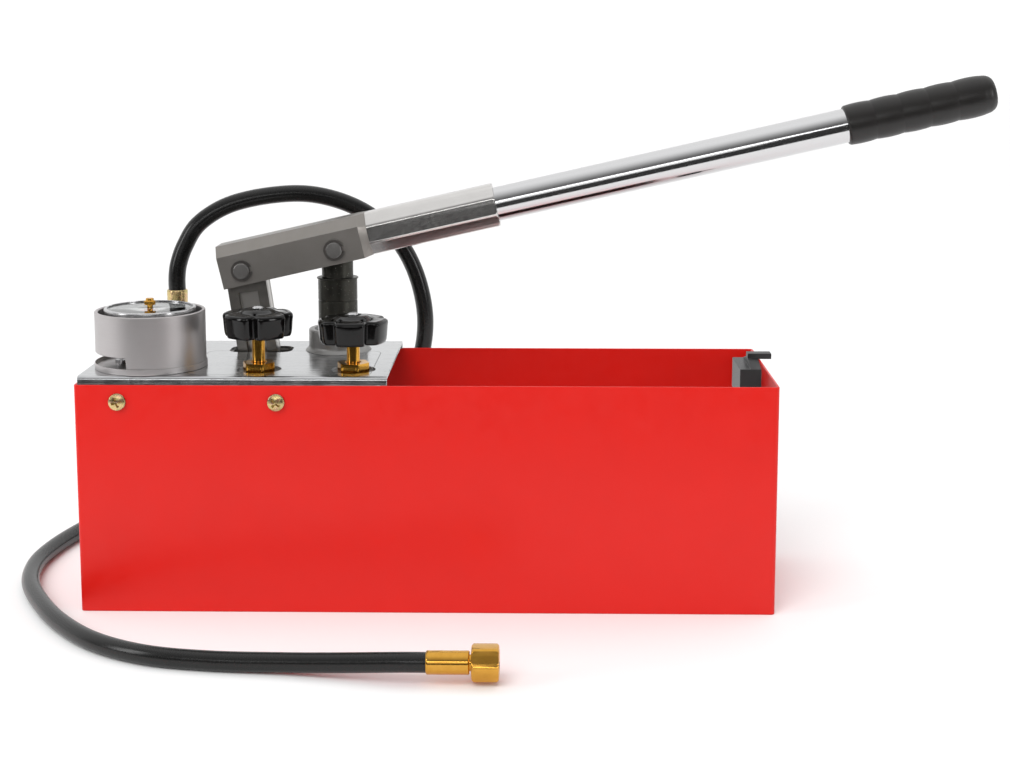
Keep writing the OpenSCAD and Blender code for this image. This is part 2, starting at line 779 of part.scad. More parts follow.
// Drag pointer that stays at the highest reading
module peak_pointer() {
  color("firebrick") translate([gauge_x, gauge_y, 0]) {
    translate([0, 0, dial_z + 3]) cylinder(d = 7, h = 1);
    rotate([0, 0, 200]) translate([-6, -0.6, dial_z + 3.2]) cube([28, 1.2, 0.5]);
  }
}

module reset_knob() {
  color("goldenrod") translate([gauge_x, gauge_y, 0]) {
    translate([0, 0, dial_z + 4]) cylinder(d = reset_d, h = 9);
    translate([0, 0, lens_z + lens_t + 2]) cylinder(d = 8, h = 5);
  }
}

module gauge_bezel() {
  color("silver") translate([gauge_x, gauge_y, 0]) difference() {
    translate([0, 0, case_top - 6]) cylinder(d = gauge_d + 3, h = 6 + lens_t + 0.6);
    translate([0, 0, case_top - 7]) cylinder(d = gauge_d + 0.2, h = 7 + lens_t - 0.2);
    translate([0, 0, case_top - 7]) cylinder(d = gauge_d - 2, h = 20);
  }
}

module gauge_lens() {
  color("aliceblue", 0.4) translate([gauge_x, gauge_y, lens_z + 0.1]) difference() {
    cylinder(d = gauge_d, h = lens_t - 0.4);
    translate([0, 0, -1]) cylinder(r = reset_d / 2 + run_fit, h = 5);
  }
}

// ---- valves ----

module valve_bonnets() {
  color("goldenrod") for (x = [left_x, right_x]) translate([x, valve_y, 0]) difference() {
    union() {
      translate([0, 0, plate_under - bonnet_x]) cylinder(d = bonnet_d, h = bonnet_x + 1);
      translate([0, 0, plate_under]) hex_bar(bonnet_af, bonnet_h);
    }
    translate([0, 0, plate_under - bonnet_x - 1])
      cylinder(r = spindle_d / 2 + run_fit, h = bonnet_x + bonnet_h + 2);
    translate([0, 0, plate_under - 6]) cylinder(r = spindle_d / 2 + 2, h = 3);
  }
}

// Packing rings in the bonnets
module bonnet_seals() {
  color("black") for (x = [left_x, right_x]) translate([x, valve_y, plate_under - 5.9])
    pipe(spindle_d / 2 + 1.9, spindle_d / 2 + run_fit, 2.8);
}

module valve_disc(x, lift) {
  translate([x, valve_y, seat_z + gap + lift]) difference() {
    cylinder(d = disc_d, h = disc_h);
    translate([0, 0, 1.5]) cylinder(r = disc_pin_d / 2 + run_fit, h = disc_h);
  }
}

module valve_spindle(x, lift) {
  translate([x, valve_y, seat_z + gap + lift]) {
    translate([0, 0, 2]) cylinder(d = disc_pin_d, h = disc_h);
    translate([0, 0, disc_h + gap])
      cylinder(d = spindle_d, h = knob_z + 3 - seat_z - disc_h - 2 * gap);
    translate([0, 0, knob_z - seat_z]) cylinder(d = knob_bore - 0.1, h = knob_h - 2);
  }
}

// A five-lobed knob with a domed crown, bored for its spindle
module star_knob(x, lift, turn) {
  translate([x, valve_y, knob_z + lift]) rotate([0, 0, turn]) difference() {
    union() {
      intersection() {
        cylinder(d = knob_d, h = knob_h + 4);
        translate([0, 0, knob_h + 4 - knob_d * 1.35]) sphere(r = knob_d * 1.35);
      }
      cylinder(d = 26, h = knob_h + 4);
    }
    for (k = [0 : lobes - 1]) rotate([0, 0, (k + 0.5) * 360 / lobes])
      translate([knob_d / 2 + 2.5, 0, -1]) cylinder(r = 6.5, h = knob_h + 10);
    translate([0, 0, -1]) cylinder(r = spindle_d / 2 + run_fit, h = 4.2);
    translate([0, 0, -1]) cylinder(d = knob_bore, h = knob_h);
    translate([0, 0, knob_h - 2]) cylinder(d = 4.1, h = 10);
  }
}

module knob_screw(x, lift) {
  translate([x, valve_y, knob_z + lift + knob_h + 4.05]) {
    intersection() {
      cylinder(d = 8, h = 2);
      translate([0, 0, -6]) sphere(r = 8);
    }
    translate([0, 0, -5.5]) cylinder(d = 4, h = 6);
  }
}

module release_disc() { color("goldenrod") valve_disc(left_x, left_lift); }
module release_spindle() { color("goldenrod") valve_spindle(left_x, left_lift); }
module release_knob() { color([0.08, 0.08, 0.08]) star_knob(left_x, left_lift, 54); }
module release_knob_screw() { color("silver") knob_screw(left_x, left_lift); }
module shutoff_disc() { color("goldenrod") valve_disc(right_x, 0); }
module shutoff_spindle() { color("goldenrod") valve_spindle(right_x, 0); }
module shutoff_knob() { color([0.08, 0.08, 0.08]) star_knob(right_x, 0, 18); }
module shutoff_knob_screw() { color("silver") knob_screw(right_x, 0); }

// ---- plunger ----

module plunger() {
  color([0.25, 0.25, 0.23]) translate([plunger_x, lever_y, 0]) difference() {
    union() {
      translate([0, 0, plunger_z]) cylinder(d = plunger_d, h = plunger_l);
      translate([0, 0, shoulder_z - 1]) cylinder(d = plunger_d + 1.6, h = 1);
      translate([0, 0, shoulder_z - 1]) cylinder(d = neck_d, h = pin_z - shoulder_z + 1);
      translate([0, -neck_d / 2, pin_z]) along_y() cylinder(d = neck_d, h = neck_d);
    }
    translate([0, -30, pin_z]) along_y() cylinder(r = pin_d / 2 + run_fit, h = 60);
    for (z = ring_zs) translate([0, 0, z])
      pipe(plunger_d / 2 + 1, plunger_d / 2 - ring_groove, ring_h + 0.2);
    translate([0, 0, shoulder_z - 18]) pipe(plunger_d / 2 + 1, plunger_d / 2 - 0.4, 0.8);
  }
}

module piston_rings() {
  color("black") for (z = ring_zs) translate([plunger_x, lever_y, z + 0.1])
    pipe(plunger_d / 2 + run_fit / 2, plunger_d / 2 - ring_groove + 0.1, ring_h);
}

// ---- lever ----

// The channel's outline seen along the lever, as [y, z], with bevelled upper edges
module channel_outline(inset) {
  w = channel_w / 2 - inset;
  top = channel_top - inset;
  b = channel_bevel - inset * 0.4;
  low = inset > 0 ? channel_bottom - 1 : channel_bottom;
  polygon([[-w, low], [w, low], [w, top - b], [w - b, top], [b - w, top], [-w, top - b]]);
}

module channel_bar(inset, x0, x1) {
  translate([x0, 0, 0]) rotate([90, 0, 90]) linear_extrude(x1 - x0) channel_outline(inset);
}

// The socket's eight-sided bar between two places along the lever
module socket_bar(x0, x1) {
  translate([x0, 0, axis_rise]) along_x() rotate([0, 0, 22.5])
    cylinder(r = socket_af / 2 / cos(22.5), h = x1 - x0, $fn = 8);
}

module lever_channel() {
  color("gray") lever_frame() difference() {
    union() {
      difference() {
        channel_bar(0, channel_x0, channel_x1 - 6);
        channel_bar(channel_wall, channel_x0 - 1, channel_x1 - channel_end_t);
      }
      hull() {
        channel_bar(0, channel_x1 - 6.5, channel_x1 - 6);
        socket_bar(channel_x1 - 0.5, channel_x1);
      }
    }
    for (x = [-pin_span, 0]) translate([x, -40, 0]) along_y()
      cylinder(r = pin_d / 2 + 0.01, h = 80);
  }
}

module lever_socket() {
  color("silver") lever_frame() difference() {
    socket_bar(channel_x1, socket_x1);
    translate([tube_x0 - 0.5, 0, axis_rise]) along_x()
      cylinder(r = tube_d / 2 + run_fit, h = socket_l);
  }
}

module lever_tube() {
  color("silver") lever_frame() translate([tube_x0, 0, axis_rise]) along_x()
    pipe(tube_d / 2, tube_d / 2 - tube_wall, grip_x1 - grip_cap - 1 - tube_x0);
}

// Grip with a rolled outline and a closed round end
module lever_grip() {
  r = grip_d / 2;
  rings = 5;
  pitch = (grip_l - 18) / rings;
  color([0.1, 0.1, 0.1]) lever_frame() translate([grip_x0, 0, axis_rise]) along_x() difference() {
    union() {
      cylinder(r = r - 1, h = grip_l - 8);
      for (i = [0 : rings - 1]) translate([0, 0, 4 + i * pitch]) cylinder(r = r, h = pitch * 0.6);
      translate([0, 0, grip_l - 8]) cylinder(r1 = r - 1, r2 = r - 5, h = 8);
    }
    translate([0, 0, -1]) cylinder(r = tube_d / 2 + run_fit, h = grip_l - grip_cap + 1);
  }
}

module lever_pins() {
  half = channel_w / 2 + 3.5;
  color("silver") lever_frame() for (x = [-pin_span, 0]) translate([x, -half, 0]) along_y()
    difference() {
      cylinder(d = pin_d, h = 2 * half);
      for (z = [1.8, 2 * half - 3]) translate([0, 0, z]) pipe(pin_d, pin_d / 2 - 0.7, 1.2);
    }
}

// Snap rings in the grooves at the ends of the lever pins
module pin_circlips() {
  half = channel_w / 2 + 3.5;
  color("dimgray") lever_frame() for (x = [-pin_span, 0], z = [1.9, 2 * half - 2.9])
    translate([x, -half + z, 0]) along_y() difference() {
      pipe(pin_d / 2 + 2, pin_d / 2 - 0.6, 1);
      translate([0, -2, -1]) cube([20, 4, 3]);
    }
}

// ---- link ----

module link() {
  color("gray") difference() {
    union() {
      link_frame() {
        translate([0, -link_t / 2, 0]) along_y() cylinder(r = eye_r, h = link_t);
        box([-link_w / 2, -link_t / 2, -link_l], [link_w / 2, link_t / 2, 0]);
      }
      translate([foot_x, lever_y - link_t / 2, foot_eye_z])
        along_y() cylinder(r = foot_eye_r, h = link_t);
    }
    link_frame() {
      translate([0, -30, 0]) along_y() cylinder(r = pin_d / 2 + 2 + 0.02, h = 60);
      for (s = [-1, 1]) translate([0, s * link_t / 2, 0])
        box([-7.5, -6, -link_l + foot_eye_r + 6], [7.5, 6, -eye_r - 3]);
    }
    translate([foot_x, lever_y - 30, foot_eye_z]) along_y() cylinder(r = open_r, h = 60);
  }
}

module link_bush() {
  color("goldenrod") link_frame() translate([0, -link_t / 2, 0]) along_y()
    pipe(pin_d / 2 + 2, pin_d / 2 + run_fit, link_t);
}

// Spacers between the link and the channel's cheeks
module link_spacers() {
  t = (channel_inner_w - link_t) / 2 - gap;
  color("silver") link_frame() for (s = [0, 1])
    translate([0, s > 0 ? link_t / 2 : -link_t / 2 - t, 0]) along_y()
      pipe(pin_d / 2 + 4, pin_d / 2 + run_fit, t);
}

// ---- hose ----

// Fitting in the pump body with the ferrule that holds the hose's upper end
module hose_adapter() {
  color("goldenrod") translate([hose_x, hose_y, 0]) difference() {
    union() {
      translate([0, 0, plate_under - port_depth + 1]) cylinder(d = port_d, h = port_depth);
      translate([0, 0, plate_under]) hex_bar(17, 9);
      translate([0, 0, plate_under + 8]) cylinder(d = 11, h = 4);
      translate([0, 0, plate_under + 11]) cylinder(d = 16, h = hose_z - plate_under - 11);
    }
    translate([0, 0, plate_under - port_depth]) cylinder(d = 5, h = hose_z - plate_under);
  }
}

module hose() {
  color([0.1, 0.1, 0.1]) sweep_tube(smooth(HOSE_ROUTE, hose_steps), hose_d / 2, hose_sides,
    [0, 1, 0]);
}

// Ferrule, neck and collar at the free end; the collar stays inside the swivel nut
module hose_end_fitting() {
  color("goldenrod") translate([hose_end_x, fitting_y, fitting_z]) along_x() difference() {
    union() {
      cylinder(d = ferrule_d, h = ferrule_l);
      cylinder(d = 10.6, h = ferrule_l + 1 + nut_back + 1);
      translate([0, 0, ferrule_l + 1 + nut_back + gap]) cylinder(r = thread_r - 0.3, h = nut_recess - 2 * gap);
    }
    translate([0, 0, 4]) cylinder(d = 6, h = 60);
  }
}

module swivel_nut() {
  color("gold") translate([nut_x, fitting_y, fitting_z]) along_x() difference() {
    rotate([0, 0, nut_turn]) hex_bar(nut_af, nut_l);
    translate([0, 0, -1]) cylinder(r = 5.3 + gap, h = nut_l);
    translate([0, 0, nut_back]) cylinder(r = thread_r + 0.7, h = nut_recess);
    translate([0, 0, nut_back + nut_recess]) cylinder(r = thread_r, h = nut_l);
  }
}

tank();
cover_plate();
plate_screws();
plate_nuts();
lever_rest_clip();
clip_screws();
pump_body();
gallery_plugs();
cylinder_barrel();
cylinder_collar();
gland_seal();
gland_wiper();
foot_valve_body();
suction_seat();
suction_ball();
ball_stop_pin();
suction_strainer();
delivery_ball();
delivery_spring();
riser_pipe();
link_bracket();
link_pivot_pin();
gauge_guard();
guard_ring();
guard_screws();
gauge_stem();
gauge_case();
bourdon_tube();
gauge_movement();
gauge_dial();
gauge_pointer();
peak_pointer();
reset_knob();
gauge_bezel();
gauge_lens();
valve_bonnets();
bonnet_seals();
release_disc();
release_spindle();
release_knob();
release_knob_screw();
shutoff_disc();
shutoff_spindle();
shutoff_knob();
shutoff_knob_screw();
plunger();
piston_rings();
lever_channel();
lever_socket();
lever_tube();
lever_grip();
lever_pins();
pin_circlips();
link();
link_bush();
link_spacers();
hose_adapter();
hose();
hose_end_fitting();
swivel_nut();
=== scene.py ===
# %% [markdown]
# # A hand-operated pressure-testing pump
#
# The real machine is an open steel tank of water with a lever pump hung under a cover plate at
# its left end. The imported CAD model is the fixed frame: every piece here is built round its
# nodes, in the same axes (+X right, +Y back, +Z up), and rides on one of its bodies.
#
# Shapes are written in millimetres, as on a drawing, and turned to metres in one place.

import bmesh
import bpy
import numpy as np
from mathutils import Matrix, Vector


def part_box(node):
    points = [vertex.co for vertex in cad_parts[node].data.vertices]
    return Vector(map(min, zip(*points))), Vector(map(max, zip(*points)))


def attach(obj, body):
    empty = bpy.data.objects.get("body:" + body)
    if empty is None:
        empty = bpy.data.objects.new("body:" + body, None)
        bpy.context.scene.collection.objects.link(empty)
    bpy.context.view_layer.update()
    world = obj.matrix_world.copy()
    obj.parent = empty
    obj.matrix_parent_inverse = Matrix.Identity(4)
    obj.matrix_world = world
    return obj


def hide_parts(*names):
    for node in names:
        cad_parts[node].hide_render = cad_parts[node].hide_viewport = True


MM = 0.001
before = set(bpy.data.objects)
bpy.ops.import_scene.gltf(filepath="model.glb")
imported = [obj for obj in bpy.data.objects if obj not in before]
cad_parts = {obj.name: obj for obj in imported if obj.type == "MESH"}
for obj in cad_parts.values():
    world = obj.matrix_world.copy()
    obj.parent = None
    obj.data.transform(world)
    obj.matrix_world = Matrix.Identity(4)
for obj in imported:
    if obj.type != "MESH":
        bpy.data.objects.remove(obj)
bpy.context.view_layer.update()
print("nodes:", len(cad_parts))

# %% [markdown]
# ## The camera
#
# A product picture of a long low machine is taken from a little above its rim with a fairly
# long lens, so that the tank stays nearly rectangular. Tilting a camera down makes upright
# edges lean; a small vertical shift takes part of that tilt away, as a view camera does.

# %% Camera
CAMERA_PLACE = (0.0761, -1.2274, 0.4072)
CAMERA_PITCH = 8.048
CAMERA_YAW = 0.985
LENS_MM = 59.35
SHIFT_UP = -0.1

camera_data = bpy.data.cameras.new("camera")
camera_data.lens = LENS_MM
camera_data.sensor_width = 36
camera_data.shift_y = SHIFT_UP
camera = bpy.data.objects.new("camera", camera_data)
camera.location = CAMERA_PLACE
camera.rotation_euler = np.radians((90 - CAMERA_PITCH, 0, CAMERA_YAW))
bpy.context.scene.collection.objects.link(camera)
bpy.context.scene.camera = camera
bpy.context.scene.view_settings.view_transform = "Standard"
print("camera", CAMERA_PLACE, "lens", LENS_MM)

# %% [markdown]
# ## Surfaces on a grid
#
# Nearly every part of this machine was rolled, folded, turned or extruded, so its skin is a
# function of two numbers: how far along the outline, and how far along the wall. Both are
# worked out for a whole grid at once. Seams and poles then close when equal points merge.

# %% From a grid of points to a piece
# Points closer than this, in metres, are one point
MERGE_WITHIN = 2e-6


def piece(name, body, *grids, replaces=(), slot=None, smooth_under=35):
    """One object from grids of points in mm. Each grid is rows by columns by xyz, and every
    cell of it becomes a four-sided face; equal points are merged, so a row shrunk to one point
    is a closed pole and two equal edges are a closed seam."""
    points, faces, start = [], [], 0
    for grid in grids:
        rows, cols = grid.shape[:2]
        number = start + np.arange(rows * cols).reshape(rows, cols)
        faces.append(np.stack([number[:-1, :-1], number[:-1, 1:], number[1:, 1:],
                               number[1:, :-1]], -1).reshape(-1, 4))
        points.append(grid.reshape(-1, 3) * MM)
        start += rows * cols
    mesh = bpy.data.meshes.new(name)
    mesh.from_pydata(np.concatenate(points), [], np.concatenate(faces))
    work = bmesh.new()
    work.from_mesh(mesh)
    bmesh.ops.remove_doubles(work, verts=work.verts, dist=MERGE_WITHIN)
    bmesh.ops.recalc_face_normals(work, faces=work.faces)
    work.to_mesh(mesh)
    work.free()
    return dress(name, mesh, body, replaces, slot, smooth_under)


def dress(name, mesh, body, replaces, slot, smooth_under):
    """Smooth shading with sharp edges above an angle, and the piece's place in the frame."""
    mesh.shade_smooth()
    mesh.set_sharp_from_angle(angle=np.radians(smooth_under))
    made = bpy.data.objects.new(name, mesh)
    bpy.context.scene.collection.objects.link(made)
    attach(made, body)
    if replaces:
        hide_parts(*replaces)
    coat(made, FINISHES[slot])
    print(f"{name}: {len(mesh.polygons)} faces on {body}")
    return made


def coat(made, finish):
    """The piece's only material becomes this finish."""
    made.data.materials.clear()
    made.data.materials.append(finish)


# %% Outlines with rounded corners
def rounded(corners, radius, steps=6, closed=False):
    """Each corner gives way to an arc: a curve that starts a radius before the corner, is
    pulled towards it, and ends a radius after it. Points come in order along the outline."""
    p = np.asarray(corners, float)
    r = np.broadcast_to(np.asarray(radius, float), len(p)).copy()
    if not closed:
        r[[0, -1]] = 0
    before, after = np.roll(p, 1, 0) - p, np.roll(p, -1, 0) - p
    room_before = np.maximum(np.linalg.norm(before, axis=1), 1e-9)
    room_after = np.maximum(np.linalg.norm(after, axis=1), 1e-9)
    reach = np.minimum(r, 0.495 * np.minimum(room_before, room_after))[:, None]
    a = p + before / room_before[:, None] * reach
    c = p + after / room_after[:, None] * reach
    t = np.linspace(0, 1, steps)[None, :, None]
    arc = (1 - t) ** 2 * a[:, None] + 2 * t * (1 - t) * p[:, None] + t ** 2 * c[:, None]
    return arc.reshape(-1, 2)


def closed_loop(outline):
    """The outline with its first point again at the end."""
    return np.concatenate([outline, outline[:1]])


# %% Places in the frame
class Place:
    """Where a shape's own axes lie in the frame: a point, and three directions."""

    def __init__(self, origin, along=(0, 0, 1), side=(1, 0, 0)):
        self.origin = np.asarray(origin, float)
        z = np.asarray(along, float) / np.linalg.norm(along)
        x = np.asarray(side, float) - np.dot(side, z) * z
        self.axes = np.stack([x / np.linalg.norm(x), np.cross(z, x / np.linalg.norm(x)), z])

    def put(self, x, y, z):
        """Own coordinates, any arrays that broadcast together, to points in the frame."""
        x, y, z = np.broadcast_arrays(x, y, z)
        return self.origin + np.stack([x, y, z], -1) @ self.axes


def corners(node):
    """A CAD node's lowest and highest corner, in mm."""
    low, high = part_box(node)
    return np.array(low) / MM, np.array(high) / MM


def middle(node):
    """The point halfway between those corners."""
    low, high = corners(node)
    return (low + high) / 2


def radius_of(node):
    """Half the width of an upright turned node."""
    low, high = corners(node)
    return (high[0] - low[0]) / 2


# %% Turned shapes
def around_axis(place, radius, height, angle):
    """Points round the place's own Z axis: x is radius times cosine, y is radius times sine.
    Radius and height are numbers for each row, or for each row and direction."""
    return place.put(radius * np.cos(angle), radius * np.sin(angle), height + 0 * angle)


def directions(sides, start=0.0):
    """One full turn in equal steps, as a row of angles."""
    return np.radians(np.linspace(start, start + 360, sides + 1))[None, :]


def turned(place, profile, sides=96, start=0.0):
    """A profile of (radius, height) pairs carried round the axis."""
    profile = np.asarray(profile, float)
    return around_axis(place, profile[:, 0, None], profile[:, 1, None], directions(sides, start))


def flats_radius(angle, flats, across, corner):
    """Distance from the axis to the side of a regular bar in each direction: half the distance
    across its flats over the cosine of the angle from the nearest flat's middle. Its corners
    are cut by a circle a little inside the true points."""
    step = 2 * np.pi / flats
    from_flat = (angle + step / 2) % step - step / 2
    radius = across / 2 / np.cos(from_flat)
    return np.minimum(radius, across / 2 / np.cos(step / 2) - corner)


def bar(place, flats, across, profile, sides=96, turn=0.0, corner=0.4):
    """A turned profile whose radius is never more than the bar's: turning the ends of a
    hexagon bar to a cone leaves the curved edges of a real nut."""
    profile = np.asarray(profile, float)
    angle = directions(sides)
    r = np.minimum(profile[:, 0, None],
                   flats_radius(angle - np.radians(turn), flats, across, corner))
    return around_axis(place, r, profile[:, 1, None], angle)


# %% Softened copies of CAD nodes
def softened(name, node, body, width=0.4, slot=None, smooth_under=35):
    """Folded and cast parts with many holes keep the CAD shape: a copy has its triangles
    merged into flat faces, and a bevel takes the knife edge off, because light catches a real
    edge and never a mathematical one."""
    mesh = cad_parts[node].data.copy()
    mesh.name = name
    work = bmesh.new()
    work.from_mesh(mesh)
    bmesh.ops.remove_doubles(work, verts=work.verts, dist=MERGE_WITHIN)
    bmesh.ops.dissolve_limit(work, angle_limit=np.radians(1), verts=work.verts,
                             edges=work.edges)
    work.to_mesh(mesh)
    work.free()
    made = dress(name, mesh, body, (node,), slot, smooth_under)
    bevel = made.modifiers.new("soft_edges", "BEVEL")
    bevel.width = width * MM
    bevel.segments = 2
    bevel.limit_method = "ANGLE"
    bevel.angle_limit = np.radians(40)
    bevel.harden_normals = True
    return made

# %% [markdown]
# ## Finishes
#
# A finish is written as it was made: painted, plated, cast, turned, moulded. Each starts from
# one plain surface with that material's usual reflectance, and then gets the unevenness that
# its making leaves. Coordinates are the object's own, turned to millimetres, so that a noise
# of size 2 really has bumps 2 mm across.

# %% Nodes
def linear(colour):
    """An sRGB hex colour as linear red, green, blue and alpha."""
    srgb = np.array([int(colour[i:i + 2], 16) for i in (1, 3, 5)]) / 255
    low, high = srgb / 12.92, ((srgb + 0.055) / 1.055) ** 2.4
    return (*np.where(srgb <= 0.04045, low, high).tolist(), 1.0)


def add(tree, kind, inputs=(), **settings):
    """A node with its settings; an input is a number, a colour or another node's socket."""
    node = tree.nodes.new(kind)
    for key, value in settings.items():
        setattr(node, key, value)
    for key, value in dict(inputs).items():
        if isinstance(value, bpy.types.NodeSocket):
            tree.links.new(value, node.inputs[key])
        else:
            node.inputs[key].default_value = value
    return node


FINISHES = {}


class Finish:
    """A material being built: its node tree, its surface shader, and place in mm. Pieces ask
    for it by its name."""

    def __init__(self, name, colour, roughness, metallic=0.0, **sockets):
        self.material = bpy.data.materials.new(name)
        self.material.use_nodes = True
        self.tree = self.material.node_tree
        self.tree.nodes.clear()
        self.shader = self.add("ShaderNodeBsdfPrincipled", {
            "Base Color": linear(colour), "Roughness": roughness, "Metallic": metallic,
            **{key.replace("_", " "): value for key, value in sockets.items()}})
        out = self.add("ShaderNodeOutputMaterial")
        self.tree.links.new(self.shader.outputs[0], out.inputs[0])
        place = self.add("ShaderNodeTexCoord").outputs["Object"]
        self.mm = self.add("ShaderNodeVectorMath", {0: place, "Scale": 1 / MM},
                           operation="SCALE").outputs[0]
        self.material.diffuse_color = linear(colour)
        FINISHES[name] = self.material

    def add(self, kind, inputs=(), **settings):
        return add(self.tree, kind, inputs, **settings)

    def set(self, socket, source):
        self.tree.links.new(source, self.shader.inputs[socket])

    def noise(self, size, detail=3.0):
        """Cloudy unevenness from 0 to 1; size is one number in mm, or one for each axis."""
        size = np.broadcast_to(np.asarray(size, float), 3)
        spread = self.add("ShaderNodeVectorMath", {0: self.mm, 1: tuple(1 / size)},
                          operation="MULTIPLY").outputs[0]
        return self.add("ShaderNodeTexNoise",
                        {"Vector": spread, "Scale": 1.0, "Detail": detail}).outputs[0]

    def math(self, operation, *values):
        return self.add("ShaderNodeMath", dict(enumerate(values)),
                        operation=operation).outputs[0]

    def stretch(self, value, low, high, to_low=0.0, to_high=1.0):
        """The value from low to high, spread from to_low to to_high and held there."""
        return self.add("ShaderNodeMapRange", {0: value, 1: low, 2: high, 3: to_low,
                                               4: to_high}).outputs[0]

    def blend(self, factor, low, high):
        """A colour from low to high; each is a hex colour or a socket."""
        low, high = (linear(c) if isinstance(c, str) else c for c in (low, high))
        return self.add("ShaderNodeMix", {0: factor, 6: low, 7: high},
                        data_type="RGBA").outputs[2]

    def relief(self, *layers):
        """Height layers in mm, each a factor and its depth, felt as bumps in the surface."""
        height = 0.0
        for factor, depth in layers:
            height = self.math("MULTIPLY_ADD", factor, depth, height)
        self.set("Normal", self.add("ShaderNodeBump",
                                    {"Height": height, "Distance": MM}).outputs[0])

# %% [markdown]
# ### Painted and plated sheet
#
# The tank is powder coated: dry paint, fused in an oven, leaves a soft orange-peel about
# 2 mm across and an even satin gloss, and it is thinnest on sharp edges, where the steel shows
# through first. The cover plate is bright zinc: nearly a mirror, clouded by the bath, with
# hairline scuffs that run along the sheet as it was rolled.

# %% Red powder coat
coating = Finish("red_powder_coat", "#D2170E", 0.34, IOR=1.4)
coating.set("Base Color", coating.blend(coating.noise(35, 2), "#D5180F", "#CE160D"))
coating.set("Roughness", coating.stretch(coating.noise(9), 0.3, 0.7, 0.29, 0.4))
coating.relief((coating.noise(2.2, 1), 0.03), (coating.noise(0.35, 1), 0.004))

# %% Bright zinc sheet
zinc = Finish("zinc_sheet", "#C4C6C8", 0.2, metallic=1.0)
cloud = zinc.noise((14, 8, 8), 4)
scuff = zinc.noise((60, 0.35, 0.35), 2)
zinc.set("Roughness", zinc.math("MULTIPLY_ADD", zinc.stretch(scuff, 0.35, 0.75), 0.16,
                                zinc.stretch(cloud, 0.3, 0.7, 0.1, 0.2)))
# The border engraved round the two valves: a rectangle with rounded corners is every point
# whose distance from a smaller plain rectangle is the corner's radius
BORDER_MIDDLE, BORDER_HALF, BORDER_CORNER, BORDER_WIDE = (-106, -19.5), (66, 46.5), 8, 0.8
inner = tuple(h - BORDER_CORNER for h in BORDER_HALF)
to_middle = tuple(-c for c in BORDER_MIDDLE) + (0,)
level = zinc.mm
for operation, values in (("MULTIPLY_ADD", {1: (1, 1, 0), 2: to_middle}), ("ABSOLUTE", {}),
                          ("SUBTRACT", {1: inner + (0,)}), ("MAXIMUM", {1: (0, 0, 0)})):
    level = zinc.add("ShaderNodeVectorMath", {0: level, **values}, operation=operation).outputs[0]
past = zinc.add("ShaderNodeVectorMath", {0: level}, operation="LENGTH").outputs[1]
groove = zinc.math("COMPARE", past, float(BORDER_CORNER), BORDER_WIDE / 2)
zinc.set("Base Color", zinc.blend(groove, zinc.blend(cloud, "#B2B4B6", "#D2D3D4"), "#7E8082"))
zinc.relief((scuff, 0.006), (zinc.noise(3.5, 2), 0.008), (groove, -0.12))

# %% [markdown]
# ### Small plated parts
#
# Screws and the upper hose fitting are zinc plated and then dipped in yellow chromate, whose
# thin film drifts from straw to green and rose. Other screws and rings are plain steel.

# %% Yellow passivated zinc
straw = Finish("yellow_zinc", "#CDB277", 0.24, metallic=1.0)
film = straw.noise(3.2, 2)
tint = straw.blend(straw.stretch(film, 0.35, 0.5), "#C2B57C", "#D9C08A")
straw.set("Base Color", straw.blend(straw.stretch(film, 0.52, 0.68), tint, "#CFA98C"))
straw.set("Roughness", straw.stretch(straw.noise(1.2), 0.3, 0.7, 0.2, 0.36))
straw.relief((straw.noise(0.5, 1), 0.008))


# %% A family of bare metals
def bare_metal(name, colours, roughness, cloud_mm, marks_mm, depth):
    """Metal between two colours in clouds, with marks of a real size and depth in mm, which
    also change its gloss."""
    metal = Finish(name, colours[0], roughness[0], metallic=1.0)
    marks = metal.noise(marks_mm, 2)
    metal.set("Base Color", metal.blend(metal.noise(cloud_mm, 3), *colours))
    metal.set("Roughness", metal.stretch(marks, 0.3, 0.7, *roughness))
    metal.relief((marks, depth))


# Turned bright bar; its tool marks are too fine to see and only soften the reflection
bare_metal("steel", ("#B9B9BA", "#CFCFD0"), (0.2, 0.32), 8, 0.5, 0.004)
# Machined and then left to dull: grey, with a darker bloom
bare_metal("grey_steel", ("#7F7D7B", "#9A9896"), (0.36, 0.5), 6, (0.5, 0.5, 3), 0.01)
# Tube polished round with a belt, so its marks are short and level
bare_metal("satin_steel", ("#B9B5B5", "#C6C2C2"), (0.4, 0.48), 30, (9, 9, 0.5), 0.0015)
# Oil-blackened steel of the snap rings
bare_metal("black_steel", ("#6A6663", "#7E7A77"), (0.3, 0.45), 4, 0.4, 0.004)
# Yellow brass from bar stock: warm, bright, with a faint tarnish in clouds
bare_metal("brass", ("#C8923A", "#DCA84C"), (0.11, 0.19), 5, (0.8, 0.3, 0.3), 0.003)

# %% [markdown]
# ### Castings
#
# The pump body, foot valve and collar are sand-cast aluminium. The skin carries the print of
# the sand, grains 0.3 to 1 mm across, and faces that seat on something are milled smooth.

# %% Cast aluminium
casting = Finish("cast_aluminium", "#A3A3A2", 0.45, metallic=1.0)
sand = casting.noise(0.9, 4)
casting.set("Base Color", casting.blend(casting.noise(7, 3), "#929190", "#B3B2B0"))
casting.set("Roughness", casting.stretch(sand, 0.3, 0.7, 0.36, 0.55))
casting.relief((sand, 0.07), (casting.noise(6, 2), 0.1))

# %% [markdown]
# ### The plunger
#
# A plunger is ground round and then blackened in oil: olive-black, smooth along its length,
# with bright specks where the black has worn off the high spots.

